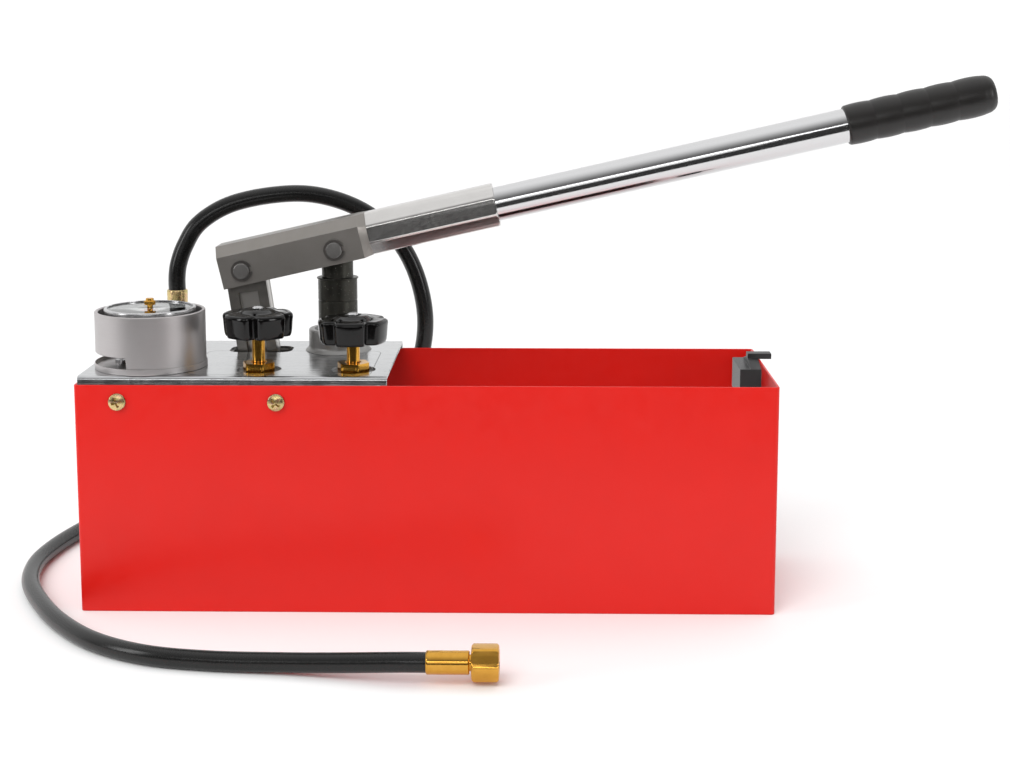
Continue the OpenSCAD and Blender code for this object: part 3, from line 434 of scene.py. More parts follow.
# %% Burnished steel
burnished = Finish("burnished_steel", "#3A3A36", 0.34, metallic=0.85)
speck = burnished.stretch(burnished.noise((0.9, 0.9, 1.6), 3), 0.68, 0.74)
skin = burnished.blend(burnished.noise(9, 3), "#2F2F2C", "#4A4943")
burnished.set("Base Color", burnished.blend(speck, skin, "#B9B7B0"))
burnished.set("Roughness", burnished.stretch(burnished.noise((6, 6, 0.3)), 0.3, 0.7, 0.28, 0.44))
burnished.relief((burnished.noise((5, 5, 0.3), 1), 0.006))


# %% [markdown]
# ### Paint on the lever
#
# The lever's channel is sprayed a warm grey and its socket a lighter one. Sprayed enamel is
# smoother than powder, with dust nibs under it and small chips down to the steel.

# %% Grey paints
def sprayed(name, thin, thick, roughness, flake):
    """Enamel between two greys, with faint runs and nibs of dust under the film; flake is the
    share of the film that is aluminium powder, which reflects as metal."""
    paint = Finish(name, thin, roughness[0], metallic=flake)
    paint.set("Base Color", paint.blend(paint.noise(12, 3), thin, thick))
    paint.set("Roughness", paint.stretch(paint.noise(2.5), 0.3, 0.7, *roughness))
    paint.relief((paint.noise(1.6, 1), 0.012), (paint.noise(0.5, 1), 0.004))


sprayed("lever_grey_paint", "#88847F", "#928E8A", (0.32, 0.4), 0.75)
sprayed("socket_grey_paint", "#CFCDCB", "#DAD8D6", (0.2, 0.27), 1.0)

# %% Link steel, with painted light and shade
# The link's web is painted a paler grey, a painted highlight on the recess, and its flanges a
# darker grey, painted shade: how far a point lies from the middle plane tells the one from the
# other
LINK_MIDDLE, WEB_REACH = 35, 4.0
link_finish = Finish("link_steel_painted_light", "#8C8A88", 0.4, metallic=1.0)
across = link_finish.add("ShaderNodeSeparateXYZ", {0: link_finish.mm}).outputs[1]
painted_lit_web = link_finish.math("COMPARE", across, float(LINK_MIDDLE), WEB_REACH)
edges = link_finish.blend(link_finish.noise(6, 3), "#77746F", "#8E8B87")
# Paler web: painted highlight on the recess; darker flanges: painted shade
link_finish.set("Base Color", link_finish.blend(painted_lit_web, edges, "#B5B2AE"))
link_finish.set("Roughness", link_finish.stretch(link_finish.noise((1, 1, 6)), 0.3, 0.7, 0.3, 0.44))
link_finish.relief((link_finish.noise(0.8, 3), 0.02))

# %% Chrome
chrome = Finish("chrome", "#D2D2D3", 0.12, metallic=1.0)
chrome.set("Roughness", chrome.stretch(chrome.noise(5), 0.35, 0.7, 0.1, 0.14))
chrome.relief((chrome.noise((40, 2, 2), 1), 0.002))

# %% [markdown]
# ### Rubber and plastic
#
# Hose cover and grip are black rubber, with fine dust in their pores; the star knobs are
# compression-moulded thermoset, polished where they left the mould; the lever rest is nylon
# with a spark-eroded grain.


# %% Rubbers and plastics
def moulded(name, dark, bloom, roughness, grain_mm, depth, **sockets):
    """Black material with a paler bloom in clouds and a grain of a real size and depth."""
    black = Finish(name, dark, roughness[0], **sockets)
    grain = black.noise(grain_mm, 2)
    black.set("Base Color", black.blend(black.noise(14, 4), dark, bloom))
    black.set("Roughness", black.stretch(grain, 0.3, 0.7, *roughness))
    black.relief((grain, depth))


moulded("hose_rubber", "#0B0B0B", "#141413", (0.22, 0.3), 0.6, 0.012, IOR=1.45)
moulded("grip_rubber", "#0E0C0B", "#181513", (0.34, 0.46), 0.5, 0.03, IOR=1.52)
moulded("seal_rubber", "#101010", "#1A1A1A", (0.35, 0.5), 0.4, 0.01, IOR=1.52)
moulded("black_moulding", "#1B1B1C", "#262627", (0.38, 0.5), 0.35, 0.03, IOR=1.53)
moulded("knob_gloss", "#060505", "#0A0909", (0.07, 0.13), 1.8, 0.006, IOR=1.38)
moulded("gauge_case_black", "#131314", "#1C1C1D", (0.3, 0.4), 1.2, 0.015, IOR=1.5)
moulded("pointer_black", "#0E0E0E", "#151515", (0.3, 0.4), 0.5, 0.004, IOR=1.5)
moulded("pointer_red", "#B3140E", "#C01A12", (0.3, 0.4), 0.5, 0.004, IOR=1.5)
moulded("dial_white", "#ECECEA", "#F4F4F2", (0.35, 0.45), 0.8, 0.003, IOR=1.5)

# %% Clear window
lens = Finish("clear_lens", "#F7FAFA", 0.03, IOR=1.49, Transmission_Weight=1.0)
lens.set("Roughness", lens.stretch(lens.noise(2.5), 0.4, 0.75, 0.015, 0.07))
print("finishes:", ", ".join(FINISHES))

# %% [markdown]
# ## The tank
#
# One sheet folded to a box and welded. Its wall is a profile that starts under the middle of
# the floor, runs out to the lower edge, up, over the rim and down the inside to the middle of
# the floor again. Each point of the profile is an inset and a height, and at each one the
# outline is a rectangle with rounded corners, that much smaller.

# %% Tank
def rounded_rectangle(half_x, half_y, radius, steps=7):
    """The outline of a rectangle about its middle, with an arc at each corner."""
    signs = np.array([[1, -1], [1, 1], [-1, 1], [-1, -1]])
    half = np.maximum([half_x, half_y], 1e-3)
    return rounded(signs * half, radius, steps, closed=True)


def tank_row(inset, height):
    """The closed outline at one point of the wall's profile."""
    outline = closed_loop(rounded_rectangle(half_x - inset, half_y - inset,
                                            max(TANK_CORNER - inset, INNER_CORNER)))
    return np.c_[outline, np.full(len(outline), height)]


half_x, half_y, rim = corners("tank")[1]
TANK_WALL = 1.5
TANK_CORNER, INNER_CORNER = 3.0, 0.8
wall = rounded([(half_y, 0), (0, 0), (0, rim), (TANK_WALL, rim), (TANK_WALL, TANK_WALL),
                (half_y, TANK_WALL)], [0, 1.0, 0.6, 0.6, 2.5, 0])
tank = piece("tank_shell", "root", np.stack([tank_row(*point) for point in wall]),
             replaces=("tank",), slot="red_powder_coat")
# Its own red would fill every bright part above it
tank.visible_glossy = False

# %% [markdown]
# ## The cover plate
#
# A bright channel that drops between the tank's long walls. Its two folds and many holes are
# already exact in the CAD node, so a softened copy is all it needs.

# %% Cover plate and the parts under it
softened("plate_sheet", "cover_plate", "root", 0.25, "zinc_sheet")
softened("valve_block", "pump_body", "root", 0.8, "cast_aluminium")
softened("foot_valve_casting", "foot_valve_body", "root", 0.8, "cast_aluminium")
softened("pivot_bracket", "link_bracket", "root", 0.4, "grey_steel")
softened("lever_rest", "lever_rest_clip", "root", 0.5, "black_moulding")

# %% [markdown]
# ## Pan-head screws
#
# A pan head is a low dome with a rounded side. The cross recess is pressed in, so it is part
# of the same surface: where a point lies within the cross, its height drops, and over a
# quarter of a millimetre it comes back up, as pressed metal does.


# %% Pan-head screws
PAN_SIDES = 120
PAN_EDGE, PRESSED_SLOPE = 0.9, 0.25
# Shares of the head's height: how far the dome falls to its edge, and the cross's depth
DOME_DROP, CROSS_DEPTH = 0.4, 0.6


def pan_head(place, head, height, shank, reach, turn):
    """Grid over radius and direction. Height is the dome's, less the depth of a cross whose
    distance is taken from its two bars; below it the side, underside and shank follow. Head
    and shank are diameters, reach is the shank's length, and turn is in degrees."""
    across = directions(PAN_SIDES)
    r = np.linspace(0, head / 2 - PAN_EDGE, 46)[:, None]
    x, y = r * np.cos(across), r * np.sin(across)
    bar_half, bar_reach = head * 0.06, head * 0.3
    one = np.maximum(np.abs(x) - bar_half, np.abs(y) - bar_reach)
    two = np.maximum(np.abs(y) - bar_half, np.abs(x) - bar_reach)
    inside = np.clip(0.5 - np.minimum(one, two) / PRESSED_SLOPE, 0, 1)
    dome = height * (1 - DOME_DROP * (r / (head / 2)) ** 2)
    top = around_axis(place, r, dome - CROSS_DEPTH * height * inside,
                      directions(PAN_SIDES, turn))
    edge = dome[-1, 0]
    side = rounded([(head / 2 - PAN_EDGE, edge), (head / 2, edge - 0.3), (head / 2, 0),
                    (shank / 2, 0), (shank / 2, -reach), (0, -reach)],
                   [0, 1.0, 0.3, 0, 0.5, 0])
    return top, turned(place, side, PAN_SIDES, turn)


# %% Screws on the tank
HEAD_TALL = 3.6
SCREWS_BELOW_RIM = 12
SCREWS_FROM_END = (28.5, 141.5)
CLIP_SCREWS_APART = 30

plate_end = corners("cover_plate")[0][0]
heads = []
for number, out in enumerate(SCREWS_FROM_END):
    for side in (-1, 1):
        seat = Place((plate_end + out, side * half_y, rim - SCREWS_BELOW_RIM), (0, side, 0))
        heads.extend(pan_head(seat, 12, HEAD_TALL, 6, 11, 20 + 30 * number))
piece("plate_screw_set", "root", *heads, replaces=("plate_screws",), slot="yellow_zinc")

clip_y, clip_z = middle("clip_screws")[1:]
heads = []
for side in (-1, 1):
    seat = Place((half_x, clip_y + side * CLIP_SCREWS_APART / 2, clip_z), (1, 0, 0), (0, 1, 0))
    heads.extend(pan_head(seat, 8, HEAD_TALL, 4, 13, 15))
piece("clip_screw_set", "root", *heads, replaces=("clip_screws",), slot="steel")

# %% [markdown]
# ## The gauge and its guard
#
# The gauge faces up inside a length of satin tube. The left half of the tube is cut away at
# its foot, so that water can drain: the tube's lower edge is a height that depends on
# direction, and the wall is carried from that edge to the rim.

# %% Guard tube
GUARD_WALL, GUARD_EDGE = 2.5, 0.5
# The cut's directions and the slope of its ends, in degrees, and its height over the plate
CUT_FROM, CUT_TO, CUT_EASE, CUT_HEIGHT = 97, 257, 1.2, 12

guard_low, guard_high = corners("gauge_guard")
guard_r = radius_of("gauge_guard")
gauge_x, gauge_y = middle("gauge_guard")[:2]
gauge_axis = Place((gauge_x, gauge_y, 0))
plate_top = corners("guard_ring")[0][2]
turn = directions(720)
angle = np.degrees(turn)
cut = np.clip((angle - CUT_FROM) / CUT_EASE, 0, 1) * np.clip((CUT_TO - angle) / CUT_EASE, 0, 1)
foot = guard_low[2] + (plate_top + CUT_HEIGHT - guard_low[2]) * cut
bore = guard_r - GUARD_WALL
# Each row of the section: its radius, its share of the way up, and its step past that edge
section = np.array([
    (guard_r - GUARD_EDGE, 0, 0), (guard_r, 0, GUARD_EDGE), (guard_r, 1, -GUARD_EDGE),
    (guard_r - GUARD_EDGE, 1, 0), (bore + GUARD_EDGE, 1, 0), (bore, 1, -GUARD_EDGE),
    (bore, 0, GUARD_EDGE), (bore + GUARD_EDGE, 0, 0), (guard_r - GUARD_EDGE, 0, 0)])
r, share, step = (section[:, i, None] for i in range(3))
height = foot * (1 - share) + guard_high[2] * share + step
piece("guard_tube", "root", around_axis(gauge_axis, r, height, turn),
      replaces=("gauge_guard",), slot="satin_steel")

# %% Dish under the guard, bezel and window
ring_low, ring_high = corners("guard_ring")
ring_r = radius_of("guard_ring")
dish = rounded([(9, ring_low[2]), (ring_r, ring_low[2]), (ring_r, ring_high[2]),
                (guard_r + 0.1, ring_high[2]), (guard_r + 0.1, guard_low[2]),
                (9, guard_low[2]), (9, ring_low[2])], [0, 0.5, 0.4, 0.3, 0.3, 0.3, 0])
piece("guard_dish", "root", turned(gauge_axis, dish, 144), replaces=("guard_ring",),
      slot="satin_steel")

bezel_low, bezel_high = corners("gauge_bezel")
bezel_r, case_r = radius_of("gauge_bezel"), radius_of("gauge_case")
bezel = rounded([(case_r + 0.1, bezel_low[2]), (bezel_r, bezel_low[2]),
                 (bezel_r, bezel_high[2]), (case_r - 1, bezel_high[2]),
                 (case_r - 1, bezel_high[2] - 0.8), (case_r + 0.1, bezel_high[2] - 0.8),
                 (case_r + 0.1, bezel_low[2])], [0, 0.4, 1.3, 0.3, 0, 0, 0])
piece("bezel_ring", "root", turned(gauge_axis, bezel, 144), replaces=("gauge_bezel",),
      slot="steel")

lens_low, lens_high = corners("gauge_lens")
window = rounded([(2.05, lens_low[2]), (case_r - 0.05, lens_low[2]),
                  (case_r - 0.05, lens_high[2]), (2.05, lens_high[2]), (2.05, lens_low[2])],
                 [0, 0.2, 0.4, 0.2, 0])
piece("gauge_window", "root", turned(gauge_axis, window, 144), replaces=("gauge_lens",),
      slot="clear_lens")

# %% [markdown]
# The dial is a printed disc. Its scale is drawn as thin plates of ink: a fine mark every bar
# and a longer one every ten, over three quarters of a turn, with the tens in figures.

# %% Dial
dial_low, dial_high = corners("gauge_dial")
dial_r = radius_of("gauge_dial")
disc = rounded([(1.5, dial_low[2]), (dial_r, dial_low[2]), (dial_r, dial_high[2]),
                (1.5, dial_high[2]), (1.5, dial_low[2])], [0, 0.1, 0.1, 0, 0])
piece("dial_disc", "root", turned(gauge_axis, disc, 144), replaces=("gauge_dial",),
      slot="dial_white")

FULL_SCALE, SWEEP, FIRST = 60, 270.0, 225.0
# The ink's thickness, how far it is sunk in the dial, and the rim left free of it
INK, SUNK, MARGIN = 0.06, 0.02, 1.5


def dial_marks():
    """For every unit of the scale: the mark's direction, which falls in equal steps from the
    first, its inner radius and its half width."""
    number = np.arange(FULL_SCALE + 1)
    turn = np.radians(FIRST - number * SWEEP / FULL_SCALE)
    long = number % 10 == 0
    inner = np.where(long, dial_r - 6.5, np.where(number % 5 == 0, dial_r - 5.2, dial_r - 4))
    return turn, inner, np.where(long, 0.32, 0.14)


boxes = []
outer = dial_r - MARGIN
for a, inner, half in zip(*dial_marks()):
    spoke = Place((gauge_x, gauge_y, dial_high[2] - SUNK), (0, 0, 1), (np.cos(a), np.sin(a), 0))
    loop = np.array([(inner, -half), (outer, -half), (outer, half), (inner, half),
                     (inner, -half)])
    centre = np.broadcast_to(((inner + outer) / 2, 0), loop.shape)
    boxes.append(np.stack([spoke.put(*ring.T, z) for ring, z in
                           ((centre, 0), (loop, 0), (loop, INK), (centre, INK))]))
piece("dial_marks", "root", *boxes, slot="pointer_black", smooth_under=20)

# %% Figures on the dial
# Their height, and how far in from the dial's edge their middles lie
FIGURE_TALL, FIGURE_INSET = 5.2, 10.5

figures = []
for value in range(0, FULL_SCALE + 1, 10):
    text = bpy.data.curves.new("figure", "FONT")
    text.body = str(value)
    text.size = FIGURE_TALL * MM
    text.align_x = text.align_y = "CENTER"
    text.extrude = INK / 2 * MM
    shape = bpy.data.objects.new("figure", text)
    mesh = bpy.data.meshes.new_from_object(shape)
    a = np.radians(FIRST - value * SWEEP / FULL_SCALE)
    out = dial_r - FIGURE_INSET
    spot = np.array([gauge_x + out * np.cos(a), gauge_y + out * np.sin(a),
                     dial_high[2] + INK / 2 - SUNK]) * MM
    points = np.empty(len(mesh.vertices) * 3)
    mesh.vertices.foreach_get("co", points)
    mesh.vertices.foreach_set("co", (points.reshape(-1, 3) + spot).ravel())
    figures.append(mesh)
    bpy.data.objects.remove(shape)
together = bmesh.new()
for mesh in figures:
    together.from_mesh(mesh)
mesh = bpy.data.meshes.new("dial_figures")
together.to_mesh(mesh)
together.free()
dress("dial_figures", mesh, "root", (), "pointer_black", 30)

# %% [markdown]
# Both pointers turn on the same axis. A pointer is a thin strip that tapers from its boss to
# its tip, with a short broad tail; the drag pointer is pushed by the other and stays put until
# its knurled brass button is turned back.


# %% Pointers and reset button
BOSS_TALL = 0.6


def pointer(node, direction, tip, tail, width, boss):
    """The half-width falls from the boss to the tip; the strip's section is a low lens, thin at
    its edges. It lies at the node's top, in a direction in degrees."""
    a = np.radians(direction)
    place = Place((gauge_x, gauge_y, corners(node)[1][2] - BOSS_TALL), (0, 0, 1),
                  (np.cos(a), np.sin(a), 0))
    run = np.array([-tail, -tail, -tail + 0.5, 0, tip * 0.5, tip - 0.4, tip, tip])[:, None]
    half = np.array([0, width * 0.8, width, width * 0.7, width * 0.4, width * 0.14, 0.03,
                     0])[:, None]
    around = directions(12)
    strip = place.put(run + 0 * around, half * np.cos(around),
                      0.3 + 0.25 * np.sin(around) * np.clip(half * 4, 0, 1))
    disc = rounded([(0, -0.2), (boss, -0.2), (boss, BOSS_TALL), (0, BOSS_TALL)],
                   [0, 0.2, 0.25, 0])
    return strip, turned(place, disc, 48)


needle = pointer("gauge_pointer", FIRST, 22, 8, 1.1, 3)
arbor_low, arbor_high = corners("gauge_pointer")
arbor = rounded([(0, arbor_low[2]), (1, arbor_low[2]), (1, arbor_high[2]),
                 (0, arbor_high[2])], [0, 0.1, 0.1, 0])
piece("needle", "pointer", *needle, turned(gauge_axis, arbor, 24),
      replaces=("gauge_pointer",), slot="pointer_black")
drag = pointer("peak_pointer", 200, 22, 6, 1.0, 3.5)
piece("drag_needle", "peak_pointer", *drag, replaces=("peak_pointer",), slot="pointer_red")

reset_low, reset_high = corners("reset_knob")
button = rounded([(0, reset_low[2]), (2, reset_low[2]), (2, reset_high[2] - 5),
                  (4, reset_high[2] - 5), (4, reset_high[2] - 2), (2.9, reset_high[2] - 1.6),
                  (2.9, reset_high[2]), (0, reset_high[2])],
                 [0, 0.1, 0.1, 0.5, 0.5, 0.3, 0.7, 0])
KNURLS, KNURL_DEPTH, KNURLED_PAST = 36, 0.14, 3.6
around = directions(144)
r, h = button[:, 0, None], button[:, 1, None]
knurl = KNURL_DEPTH * np.abs(np.sin(KNURLS / 2 * around)) * (r > KNURLED_PAST)
piece("reset_button", "peak_pointer", around_axis(gauge_axis, r - knurl, h, around),
      replaces=("reset_knob",), slot="brass")

# %% [markdown]
# ## Valves
#
# Each valve has a hexagon bonnet, a plain spindle and a five-lobed knob. A hexagon that is
# turned on a lathe to chamfer its ends keeps, at every direction, the smaller of two radii:
# the flat's and the cone's. Where they cross is the curved edge that every real nut shows.

# %% Bonnets
bonnet_low, bonnet_high = corners("valve_bonnets")
valve_x = (middle("release_spindle")[0], middle("shutoff_spindle")[0])
valve_y = middle("release_spindle")[1]
BONNET_AF, BONNET_TURN = 21, 20
top = bonnet_high[2]
bonnet = [(4.9, bonnet_low[2]), (9.6, bonnet_low[2]), (10, bonnet_low[2] + 0.4),
          (10, top - 7.5), (11.4, top - 7.5), (12.3, top - 7.2), (12.3, top - 0.4), (11.6, top),
          (6.0, top), (5.8, top - 0.2), (5.8, top - 0.6), (5.2, top - 0.6), (4.9, top - 0.9),
          (4.9, bonnet_low[2])]
piece("bonnet_nuts", "root",
      *(bar(Place((x, valve_y, 0)), 6, BONNET_AF, bonnet, 144, BONNET_TURN) for x in valve_x),
      replaces=("valve_bonnets",), slot="brass")


# %% Spindles
def spindle(name, node, body):
    """A turned rod with a shoulder under the knob and a small relief below it. From the disc
    up it has a tip, its full radius, a groove and the end that the knob sits on."""
    low, high = corners(node)
    x, y = middle(node)[:2]
    tip, full, groove, end = 3, 4.75, 4.2, 3.95
    shoulder = high[2] - 11.5
    rod = rounded([(0, low[2]), (tip, low[2]), (tip, low[2] + 2.3), (full, low[2] + 2.3),
                   (full, shoulder - 3.2), (groove, shoulder - 3), (groove, shoulder - 2.2),
                   (full, shoulder - 2), (full, shoulder), (end, shoulder), (end, high[2]),
                   (0, high[2])],
                  [0, 0.2, 0, 0.3, 0.3, 0.2, 0.2, 0.3, 0.3, 0, 0.3, 0])
    piece(name, body, turned(Place((x, y, 0)), rod, 64), replaces=(node,), slot="brass")


spindle("left_spindle", "release_spindle", "release_valve")
spindle("right_spindle", "shutoff_spindle", "shutoff_valve")

# %% [markdown]
# A star knob is a disc whose rim swells into five broad fingertips of plastic with a narrow
# valley between each pair. Its radius is a function of direction alone; its edge profile is a
# share of that radius at each height, so lobes and valleys get the same soft edges.


# %% Star knobs
KNOB_R, LOBES = 26.0, 5
# How much a lobe swells, how deep a valley is, and the power that makes it narrow
SWELL, VALLEY, NARROW = 0.5, 5.6, 14


def star_radius(angle):
    """Outer radius with a swelling for each lobe, less a valley at each boundary between
    lobes. The valley's depth is a power of the cosine of half the lobes' angle: the higher the
    power, the narrower it is."""
    notch = np.abs(np.cos(angle * LOBES / 2)) ** NARROW
    return KNOB_R - SWELL + SWELL * np.cos(angle * LOBES) - VALLEY * notch


def star_knob(name, node, body, turn):
    """Profile rows of (share of the lobed radius, fixed radius, height). The crown dips a
    little inside a raised soft edge and rises again to a round boss in its middle."""
    low, high = corners(node)
    x, y = middle(node)[:2]
    z0, z1 = low[2], high[2]
    rim_top = z1 - 2.6
    around = directions(360)
    profile = np.array([
        (0, 0, z0 + 3), (0, 4.8, z0 + 3), (0, 4.8, z0),
        (0, 9.5, z0), (0, 10.5, z0 + 0.6), (0, 11, z0 + 2.4), (0.62, 0, z0 + 2.6),
        (0.78, 0, z0 + 1.4), (0.87, 0, z0 + 0.7), (0.91, 0, z0 + 0.9),
        (0.935, 0, z0 + 1.8), (0.95, 0, z0 + 3.2), (0.965, 0, z0 + 5.5),
        (0.985, 0, rim_top - 5.5), (0.997, 0, rim_top - 3.4), (0.998, 0, rim_top - 2.4),
        (0.985, 0, rim_top - 1.2), (0.95, 0, rim_top - 0.3), (0.9, 0, rim_top),
        (0.84, 0, rim_top - 0.15),
        (0.76, 0, rim_top - 0.3), (0.62, 0, rim_top + 0.2), (0, 13, rim_top + 0.9),
        (0, 11, z1 - 0.5), (0, 9.5, z1 - 0.1), (0, 7, z1), (0, 4.4, z1), (0, 4.1, z1 - 0.3),
        (0, 4.1, z1 - 3), (0, 0, z1 - 3)])
    share, fixed, height = (profile[:, i, None] for i in range(3))
    r = share * star_radius(around) + fixed
    place = Place((x, y, 0), (0, 0, 1), (np.cos(turn), np.sin(turn), 0))
    piece(name, body, around_axis(place, r, height, around), replaces=(node,),
          slot="knob_gloss", smooth_under=50)


star_knob("left_knob", "release_knob", "release_valve", np.radians(54))
star_knob("right_knob", "shutoff_knob", "shutoff_valve", np.radians(18))


def dome_screw(name, node, body):
    """A low round cap with a stem, over the spindle's end."""
    low, high = corners(node)
    x, y = middle(node)[:2]
    cap = rounded([(0, low[2]), (2, low[2]), (2, high[2] - 2), (3.9, high[2] - 2),
                   (3.9, high[2] - 1.2), (2.4, high[2]), (0, high[2])],
                  [0, 0.2, 0.1, 0.2, 0.8, 1.4, 0])
    piece(name, body, turned(Place((x, y, 0)), cap, 48), replaces=(node,), slot="steel")


dome_screw("left_knob_cap", "release_knob_screw", "release_valve")
dome_screw("right_knob_cap", "shutoff_knob_screw", "shutoff_valve")

# %% [markdown]
# ## Plunger and collar
#
# Both are turned, so each is one profile. The plunger's head is an eye across its neck, which
# is a second turned shape whose own axis lies along the pin.

# %% Plunger
plunger_low, plunger_high = corners("plunger")
px, py = middle("plunger")[:2]
PLUNGER_R, NECK_R, EYE_BORE, NECK_LONG = 15, 12, 6.05, 23
# The piston rings' grooves: their heights over the foot, how high they are, and their radius
GROOVES, GROOVE_HIGH, GROOVE_R = (6, 14), 2.6, 13
pin_z = plunger_high[2] - NECK_R
shoulder = pin_z - NECK_LONG
foot = plunger_low[2]
grooves = [(r, foot + z + up) for z in GROOVES
           for r, up in ((PLUNGER_R, 0), (GROOVE_R, 0), (GROOVE_R, GROOVE_HIGH),
                         (PLUNGER_R, GROOVE_HIGH))]
rod = rounded([(0, foot), (PLUNGER_R, foot), *grooves, (PLUNGER_R, shoulder - 18),
               (14.5, shoulder - 17.9), (14.5, shoulder - 17.1), (PLUNGER_R, shoulder - 17),
               (PLUNGER_R, shoulder - 1.2), (15.8, shoulder - 0.9), (15.8, shoulder),
               (12.4, shoulder), (NECK_R, shoulder + 0.6), (NECK_R, pin_z), (0, pin_z)],
              [0, 1, .2, .2, .2, .2, .2, .2, .2, .2, .2, .2, .2, .2, .3, .3, .3, .3, .4, 0, 0])
eye_axis = Place((px, py, pin_z), (0, 1, 0))
eye = rounded([(EYE_BORE, -NECK_R), (NECK_R, -NECK_R), (NECK_R, NECK_R), (EYE_BORE, NECK_R),
               (EYE_BORE, -NECK_R)], [0, .6, .6, .3, 0])
plunger_axis = Place((px, py, 0))
piece("plunger_rod", "plunger", turned(plunger_axis, rod, 128), turned(eye_axis, eye, 96),
      replaces=("plunger",), slot="burnished_steel")

# %% Collar
COLLAR_R, COLLAR_TALL = 22.5, 17
bore = PLUNGER_R + 0.05
top = corners("cylinder_collar")[1][2]
base = top - COLLAR_TALL
collar = rounded([(bore, base - 2), (17.8, base - 2), (17.8, base), (COLLAR_R + 3, base),
                  (COLLAR_R, base + 3), (COLLAR_R, top), (18, top), (18, top - 3),
                  (bore, top - 3), (bore, base - 2)], [0, .3, 0, .5, 1.5, 1.6, .5, 0, 0, 0])
piece("gland_collar", "root", turned(plunger_axis, collar, 128), replaces=("cylinder_collar",),
      slot="cast_aluminium")

# %% [markdown]
# ## Lever and link
#
# The lever's own frame has its origin on the plunger pin and its X axis towards the grip. Its
# channel and the link keep their CAD shapes, softened; socket, tube and grip are profiles
# carried round the tube's axis, and the socket is an eight-sided bar: the same idea as a nut,
# with eight flats.

# %% Lever frame
LEVER_ANGLE = np.radians(12.8)
AXIS_RISE = 5.2
lever_x = np.array([np.cos(LEVER_ANGLE), 0, np.sin(LEVER_ANGLE)])
lever_z = np.array([-np.sin(LEVER_ANGLE), 0, np.cos(LEVER_ANGLE)])
lever_pin = np.array([px, py, pin_z])
tube_axis = Place(lever_pin + AXIS_RISE * lever_z, lever_x, (0, 1, 0))
softened("channel", "lever_channel", "lever", 0.9, "lever_grey_paint")
link_bar = softened("link_bar", "link", "link", 0.9, "grey_steel")
coat(link_bar, FINISHES["link_steel_painted_light"])

# %% Socket
SOCKET, SOCKET_AF, SOCKET_BORE = (27, 126), 32.5, 13.1
inner, outer = SOCKET
socket = [(0, inner), (16, inner), (18, inner), (18, outer - 1.2), (16.4, outer), (14, outer),
          (SOCKET_BORE, outer - 0.8), (SOCKET_BORE, outer - 12), (0, outer - 12)]
piece("socket", "lever", bar(tube_axis, 8, SOCKET_AF, socket, 192, corner=0.35),
      replaces=("lever_socket",), slot="socket_grey_paint", smooth_under=20)

# %% Tube
GRIP, TUBE_R, TUBE_FROM = (396, 509), 13.0, 60
tube_end = GRIP[1] - 8
tube = rounded([(0, TUBE_FROM), (TUBE_R, TUBE_FROM), (TUBE_R, tube_end), (0, tube_end)],
               [0, .3, .3, 0])
piece("lever_pipe", "lever", turned(tube_axis, tube, 128), replaces=("lever_tube",),
      slot="chrome")

# %% [markdown]
# The grip is a thick rubber sleeve pushed over the tube, moulded in five rolls for the fingers,
# with a closed round end.

# %% Grip
# The radius on top of a roll, the rolls and their depth, and the length of the round end
GRIP_R, ROLLS, ROLL_DEPTH, END_LONG = 15.5, 5, 0.75, 9
# Radius: least between rolls, and a power of a sine's size higher on them; the mouth is round
along = np.linspace(0, 1, 161)
run = GRIP[0] + along * (GRIP[1] - GRIP[0] - END_LONG)
rolls = GRIP_R - ROLL_DEPTH * (1 - np.abs(np.sin(np.pi * ROLLS * along)) ** 0.7)
mouth = np.clip(along / 0.012, 0, 1) ** 0.5
outside = np.stack([rolls - 0.9 * (1 - mouth), run], -1)
end = rounded([(outside[-1, 0], run[-1]), (GRIP_R - 1.5, GRIP[1] - 4), (GRIP_R - 4.5, GRIP[1]),
               (0, GRIP[1])], [0, 3, 4.5, 0], 10)
inside = np.array([(0, GRIP[0] + 2), (TUBE_R, GRIP[0] + 2), (TUBE_R, GRIP[0]),
                   (outside[0, 0], GRIP[0])])
piece("hand_grip", "lever", turned(tube_axis, np.concatenate([inside, outside, end]), 128),
      replaces=("lever_grip",), slot="grip_rubber", smooth_under=60)

# %% Pins
PIN_SPAN, PIN_R, PIN_HALF = 72, 6, 23.5
# The snap rings' grooves: their radius, and where they start and end from the pin's end
RING_R, RING_FROM, RING_TO = 5.3, 1.8, 3
half_pin = np.array([(0, PIN_HALF), (PIN_R, PIN_HALF), (PIN_R, PIN_HALF - RING_FROM),
                     (RING_R, PIN_HALF - RING_FROM), (RING_R, PIN_HALF - RING_TO),
                     (PIN_R, PIN_HALF - RING_TO)])
pin = rounded(np.concatenate([half_pin * (1, -1), half_pin[::-1]]),
              [0, .6, 0, 0, 0, 0, 0, 0, 0, 0, .6, 0])
pins = [turned(Place(lever_pin + x * lever_x, (0, -1, 0)), pin, 64) for x in (-PIN_SPAN, 0)]
piece("swing_pins", "lever", *pins, replaces=("lever_pins",), slot="grey_steel")

# %% [markdown]
# ## Hose and its ends
#
# The delivery hose rises from the valve block, loops over behind the lever, drops down the
# tank's back and comes round the left end along the floor. A round section is carried along
# a smooth line, and its side directions are carried too, so that the cover is not twisted.

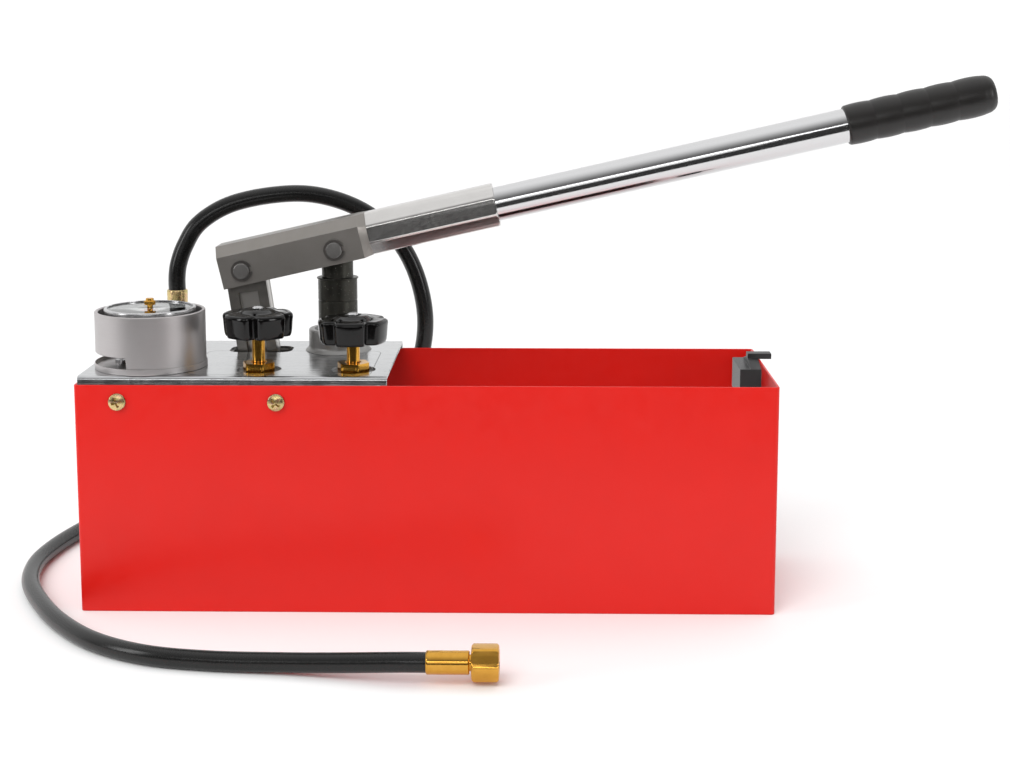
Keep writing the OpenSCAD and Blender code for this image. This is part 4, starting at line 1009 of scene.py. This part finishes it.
# %% Hose route
ROUTE = np.array([
    [-200.5, 48, 217], [-200.5, 48, 226], [-199, 48.5, 237], [-194, 50, 251], [-184, 52, 267],
    [-165, 55, 280], [-142, 60, 287], [-114, 67, 290], [-92, 73, 288], [-70, 78, 281],
    [-51, 82, 270], [-33, 85, 253], [-21, 87, 233], [-13, 88, 208], [-10.5, 89, 182],
    [-15, 91, 154], [-28, 94, 119], [-50, 98, 82], [-77, 105, 51], [-110, 115, 27],
    [-148, 129, 11], [-190, 145, 6.8], [-232, 154.8, 6.8], [-268, 148, 6.8], [-290, 126, 6.8],
    [-301, 90, 6.8], [-307.8, 50, 6.8], [-308.6, 12, 6.8], [-300, -30, 6.8], [-281, -72, 6.8],
    [-254, -116, 6.8], [-220, -154, 6.8], [-180, -178, 6.8], [-136, -188, 6.8],
    [-90, -193, 7.8], [-50, -200, 10.5], [-8, -208, 14.2], [8, -208, 14.2]])
HOSE_D = 13.2


def smooth_line(points, steps):
    """A Catmull-Rom curve: between two points it is the cubic whose slope at each is half the
    step from the point before to the point after."""
    a = np.concatenate([points[:1], points[:-2], points[-3:-2]])[:len(points) - 1]
    b, c = points[:-1], points[1:]
    d = np.concatenate([points[2:], points[-1:]])
    t = np.linspace(0, 1, steps, endpoint=False)[None, :, None]
    a, b, c, d = (p[:, None] for p in (a, b, c, d))
    curve = 0.5 * (2 * b + t * (c - a) + t ** 2 * (2 * a - 5 * b + 4 * c - d)
                   + t ** 3 * (3 * b - a - 3 * c + d))
    return np.concatenate([curve.reshape(-1, 3), points[-1:]])


def tube_along(line, radius, sides=32):
    """Rings square to the line. Each ring's side direction is the last one's, with what leans
    along the line taken off."""
    heading = np.gradient(line, axis=0)
    heading /= np.linalg.norm(heading, axis=1)[:, None]
    side = np.zeros_like(line)
    last = np.array([0, 1.0, 0])
    for i, h in enumerate(heading):
        last = last - (last @ h) * h
        last /= np.linalg.norm(last)
        side[i] = last
    up = np.cross(heading, side)
    turn = directions(sides)[..., None]
    rings = line[:, None] + radius * (np.cos(turn) * side[:, None] + np.sin(turn) * up[:, None])
    ends = [np.repeat(p[None, None], sides + 1, 1) for p in (line[0], line[-1])]
    return np.concatenate([ends[0], rings, ends[1]])


hose_line = smooth_line(ROUTE, 8)
hose_line[:, 2] = np.maximum(hose_line[:, 2], HOSE_D / 2 + 0.1)
hose = piece("delivery_hose", "root", tube_along(hose_line, HOSE_D / 2),
             replaces=("hose",), slot="hose_rubber", smooth_under=60)

# %% [markdown]
# Both hose ends are pressed ferrules: a thin plated shell closed on the hose by smooth dies,
# which leave it only faintly waisted.


# %% Ferrules and nut
def crimped(start, length, radius, rings, dip):
    """Radius along a ferrule: less by the dip at each crimp, as a sine wave with its tops and
    bottoms cut flat, and rounded off at both lips."""
    h = np.linspace(0, length, 81)
    wave = np.clip(np.sin(2 * np.pi * (h / length * rings - 0.25)) * 2.2, -1, 1)
    edge = np.clip(np.minimum(h, length - h) / 1.0, 0, 1) ** 0.5
    return np.stack([radius - dip * (0.5 + 0.5 * wave) - 0.7 * (1 - edge), start + h], -1)


PLATE_THICK = 2
UPPER_AF, UPPER_R, SHELL_FROM = 17, 8.0, 11
adapter_low, adapter_high = corners("hose_adapter")
upper = Place((*middle("hose_adapter")[:2], 0))
deck, top = plate_top - PLATE_THICK, adapter_high[2]
shell_from = deck + SHELL_FROM
hexagon_part = [(0, adapter_low[2]), (6.5, adapter_low[2]), (6.5, deck), (6.5, deck),
                (9.0, deck), (9.6, deck + 0.5), (9.6, deck + 8.2), (8.6, deck + 9),
                (5.5, deck + 9), (5.5, shell_from)]
shell = crimped(shell_from, top - shell_from, UPPER_R, 2, 0.12)
piece("upper_ferrule", "root", bar(upper, 6, UPPER_AF, hexagon_part, 96, 15),
      turned(upper, [(5.5, shell_from), *shell, (6.6, top), (0, top)]),
      replaces=("hose_adapter",), slot="yellow_zinc")

LOWER_R, LOWER_LONG = 7.7, 28
end_low, end_high = corners("hose_end_fitting")
outlet = Place((0, *middle("hose_end_fitting")[1:]), (1, 0, 0), (0, 1, 0))
x0, x1 = end_low[0], end_high[0]
neck_from = x0 + LOWER_LONG
shell = crimped(x0, LOWER_LONG, LOWER_R, 3, 0.06)
neck = rounded([(7.0, neck_from), (5.3, neck_from), (5.3, x1 - 4.4), (7.2, x1 - 4.4),
                (7.2, x1), (3, x1), (3, x1 - 12), (0, x1 - 12)],
               [0, 0, 0, .3, .4, .4, 0, 0])
piece("outlet_ferrule", "root", turned(outlet, [(0, x0), (6.6, x0), *shell, *neck]),
      replaces=("hose_end_fitting",), slot="brass")

# %% [markdown]
# The swivel nut has a pipe thread inside: a groove that climbs one pitch in each turn, so the
# bore's radius depends on height less the share of a turn.

# %% Swivel nut
NUT_AF, NUT_TURN = 22, 29.3
# The thread's pitch, its radius at the crest and its depth, and the bore past it
PITCH, THREAD_R, THREAD_DEPTH, BORE_MORE = 1.337, 7.5, 0.45, 0.9

nut_low, nut_high = corners("swivel_nut")
n0, n1 = nut_low[0], nut_high[0]
around = directions(144)


def rows_of(profile):
    """Radius and height of a plain profile, repeated for every direction."""
    profile = np.asarray(profile, float)
    return profile[:, 0, None] + 0 * around, profile[:, 1, None] + 0 * around


skin_r, skin_h = rows_of([(5.6, n0), (10.2, n0), (11.2, n0 + 0.35), (12.8, n0 + 1.5),
                          (12.8, n1 - 1.5), (11.2, n1 - 0.35), (10.2, n1),
                          (THREAD_R + 1, n1)])
skin_r = np.minimum(skin_r, flats_radius(around - np.radians(NUT_TURN), 6, NUT_AF, 0.4))
thread_h = np.linspace(n1 - 0.6, n0 + 8.2, 97)[:, None] + 0 * around
phase = (thread_h / PITCH - around / (2 * np.pi)) % 1
thread = THREAD_R + THREAD_DEPTH * np.abs(2 * phase - 1)
fade = np.clip((n1 - thread_h) / 1.2, 0, 1)
thread_r = thread * fade + (THREAD_R + BORE_MORE) * (1 - fade)
recess_r, recess_h = rows_of([(8.2, n0 + 8), (8.2, n0 + 3), (5.6, n0 + 3), (5.6, n0)])
piece("swivel_nut_brass", "swivel_nut",
      around_axis(outlet, np.concatenate([skin_r, thread_r, recess_r]),
                  np.concatenate([skin_h, thread_h, recess_h]), around),
      replaces=("swivel_nut",), slot="brass")

# %% [markdown]
# ## What stays as the CAD drew it
#
# Pieces inside the block, the cylinder and the gauge are seldom seen and already exact, so
# they only take the finish of what they are made of.

# %% Finishes on CAD nodes
KEPT = {
    "steel": ["plate_nuts", "cylinder_barrel", "suction_strainer", "suction_ball",
              "delivery_ball", "delivery_spring", "ball_stop_pin", "link_pivot_pin",
              "guard_screws", "link_spacers"],
    "brass": ["gallery_plugs", "suction_seat", "gauge_stem", "gauge_movement", "bourdon_tube",
              "riser_pipe", "release_disc", "shutoff_disc", "link_bush"],
    "seal_rubber": ["gland_seal", "gland_wiper", "bonnet_seals", "piston_rings"],
    "gauge_case_black": ["gauge_case"],
    "black_steel": ["pin_circlips"],
}
for slot_name, names in KEPT.items():
    for name in names:
        coat(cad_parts[name], FINISHES[slot_name])
print("kept:", sum(len(names) for names in KEPT.values()), "CAD nodes")

# %% [markdown]

# %% [markdown]
# ## Studio
#
# Polished metal shows the room, not itself. The room here is what a product studio is: a pale
# floor, a bright backdrop behind, softboxes above and to the side, and a dark camera side,
# which draws the dark line along every bright tube.

# %% Floor and black card
def laid_out(name, points, material_name, colour, roughness):
    """A flat sheet on four points in metres: part of the studio, not of the machine."""
    mesh = bpy.data.meshes.new(name)
    mesh.from_pydata(points, [], [(0, 1, 2, 3)])
    made = bpy.data.objects.new(name, mesh)
    bpy.context.scene.collection.objects.link(made)
    surface = bpy.data.materials.new(material_name)
    surface.use_nodes = True
    shader = surface.node_tree.nodes["Principled BSDF"]
    shader.inputs["Base Color"].default_value = linear(colour)
    shader.inputs["Roughness"].default_value = roughness
    mesh.materials.append(surface)
    return made


FLOOR_REACH = 12.0
laid_out("floor", [(x * FLOOR_REACH, y * FLOOR_REACH, 0)
                   for x, y in ((-1, -1), (1, -1), (1, 1), (-1, 1))],
         "floor_paper", "#F4F4F4", 0.9)

# Studios lay a black card on the floor in front of polished metal, out of the picture: it draws
# a dark line along each bright tube and darkens upright faces.
CARD_HALF, CARD_FAR, CARD_NEAR, CARD_UP = 9, -12, -0.6, 0.001
card = laid_out("black_card", [(-CARD_HALF, CARD_FAR, CARD_UP), (CARD_HALF, CARD_FAR, CARD_UP),
                               (CARD_HALF, CARD_NEAR, CARD_UP), (-CARD_HALF, CARD_NEAR, CARD_UP)],
                "black_felt", "#141414", 0.95)
card.visible_camera = card.visible_diffuse = card.visible_shadow = False


# %% Lights
def softbox(name, place, target, size, watts):
    """A rectangular lamp that faces a point; places and sizes in metres."""
    lamp = bpy.data.lights.new(name, "AREA")
    lamp.shape = "RECTANGLE"
    lamp.size, lamp.size_y = size
    lamp.energy = watts
    made = bpy.data.objects.new(name, lamp)
    made.location = place
    aim = Vector(target) - Vector(place)
    made.rotation_euler = aim.to_track_quat("-Z", "Y").to_euler()
    bpy.context.scene.collection.objects.link(made)


softbox("strip", (-0.2, -2.0, 0.95), (0, 0, 0.3), (2.6, 0.16), 4.5)
softbox("left_box", (-1.9, -0.9, 0.9), (-0.1, 0, 0.2), (0.5, 1.1), 10)
softbox("right_box", (1.9, -1.2, 0.7), (0.1, 0, 0.2), (0.45, 1.0), 8)
softbox("front_panel", (-0.2, -2.8, 1.0), (0, 0, 0.3), (1.6, 0.9), 4.5)

# A wide soft light from above; polished parts don't show its disc
SKY_STRENGTH, SKY_SPREAD = 1.6, 40
sun_lamp = bpy.data.lights.new("sky_panel", "SUN")
sun_lamp.energy = SKY_STRENGTH
sun_lamp.angle = np.radians(SKY_SPREAD)
sun = bpy.data.objects.new("sky_panel", sun_lamp)
sun.rotation_euler = np.radians((42, 0, -22))
sun.visible_glossy = False
bpy.context.scene.collection.objects.link(sun)

# %% World
# Brightness of the room: the dark camera side from level to overhead, the backdrop behind the
# machine from level to overhead, and what the camera itself sees past the floor
DARK_SIDE, BACKDROP, FAR_FLOOR = (0.05, 1.1), (0.95, 1.1), 1.1
world = bpy.data.worlds.new("studio")
bpy.context.scene.world = world
world.use_nodes = True
sky = world.node_tree
sky.nodes.clear()
way = add(sky, "ShaderNodeTexCoord").outputs["Generated"]
xyz = add(sky, "ShaderNodeSeparateXYZ", {0: way}).outputs
behind = add(sky, "ShaderNodeMapRange", {0: xyz[1], 1: -0.15, 2: 0.15}).outputs[0]
rise = add(sky, "ShaderNodeMath", {0: xyz[2], 1: 0.0}, operation="MAXIMUM").outputs[0]
steep = add(sky, "ShaderNodeMath", {0: rise, 1: 3.0}, operation="POWER").outputs[0]
front = add(sky, "ShaderNodeMix", {0: steep, 2: DARK_SIDE[0], 3: DARK_SIDE[1]}).outputs[0]
back = add(sky, "ShaderNodeMix", {0: rise, 2: BACKDROP[0], 3: BACKDROP[1]}).outputs[0]
room = add(sky, "ShaderNodeMix", {0: behind, 2: front, 3: back}).outputs[0]
seen = add(sky, "ShaderNodeLightPath").outputs["Is Camera Ray"]
light = add(sky, "ShaderNodeMix", {0: seen, 2: room, 3: FAR_FLOOR}).outputs[0]
shade = add(sky, "ShaderNodeBackground", {"Color": (1, 1, 1, 1), "Strength": light})
add(sky, "ShaderNodeOutputWorld", {0: shade.outputs[0]})
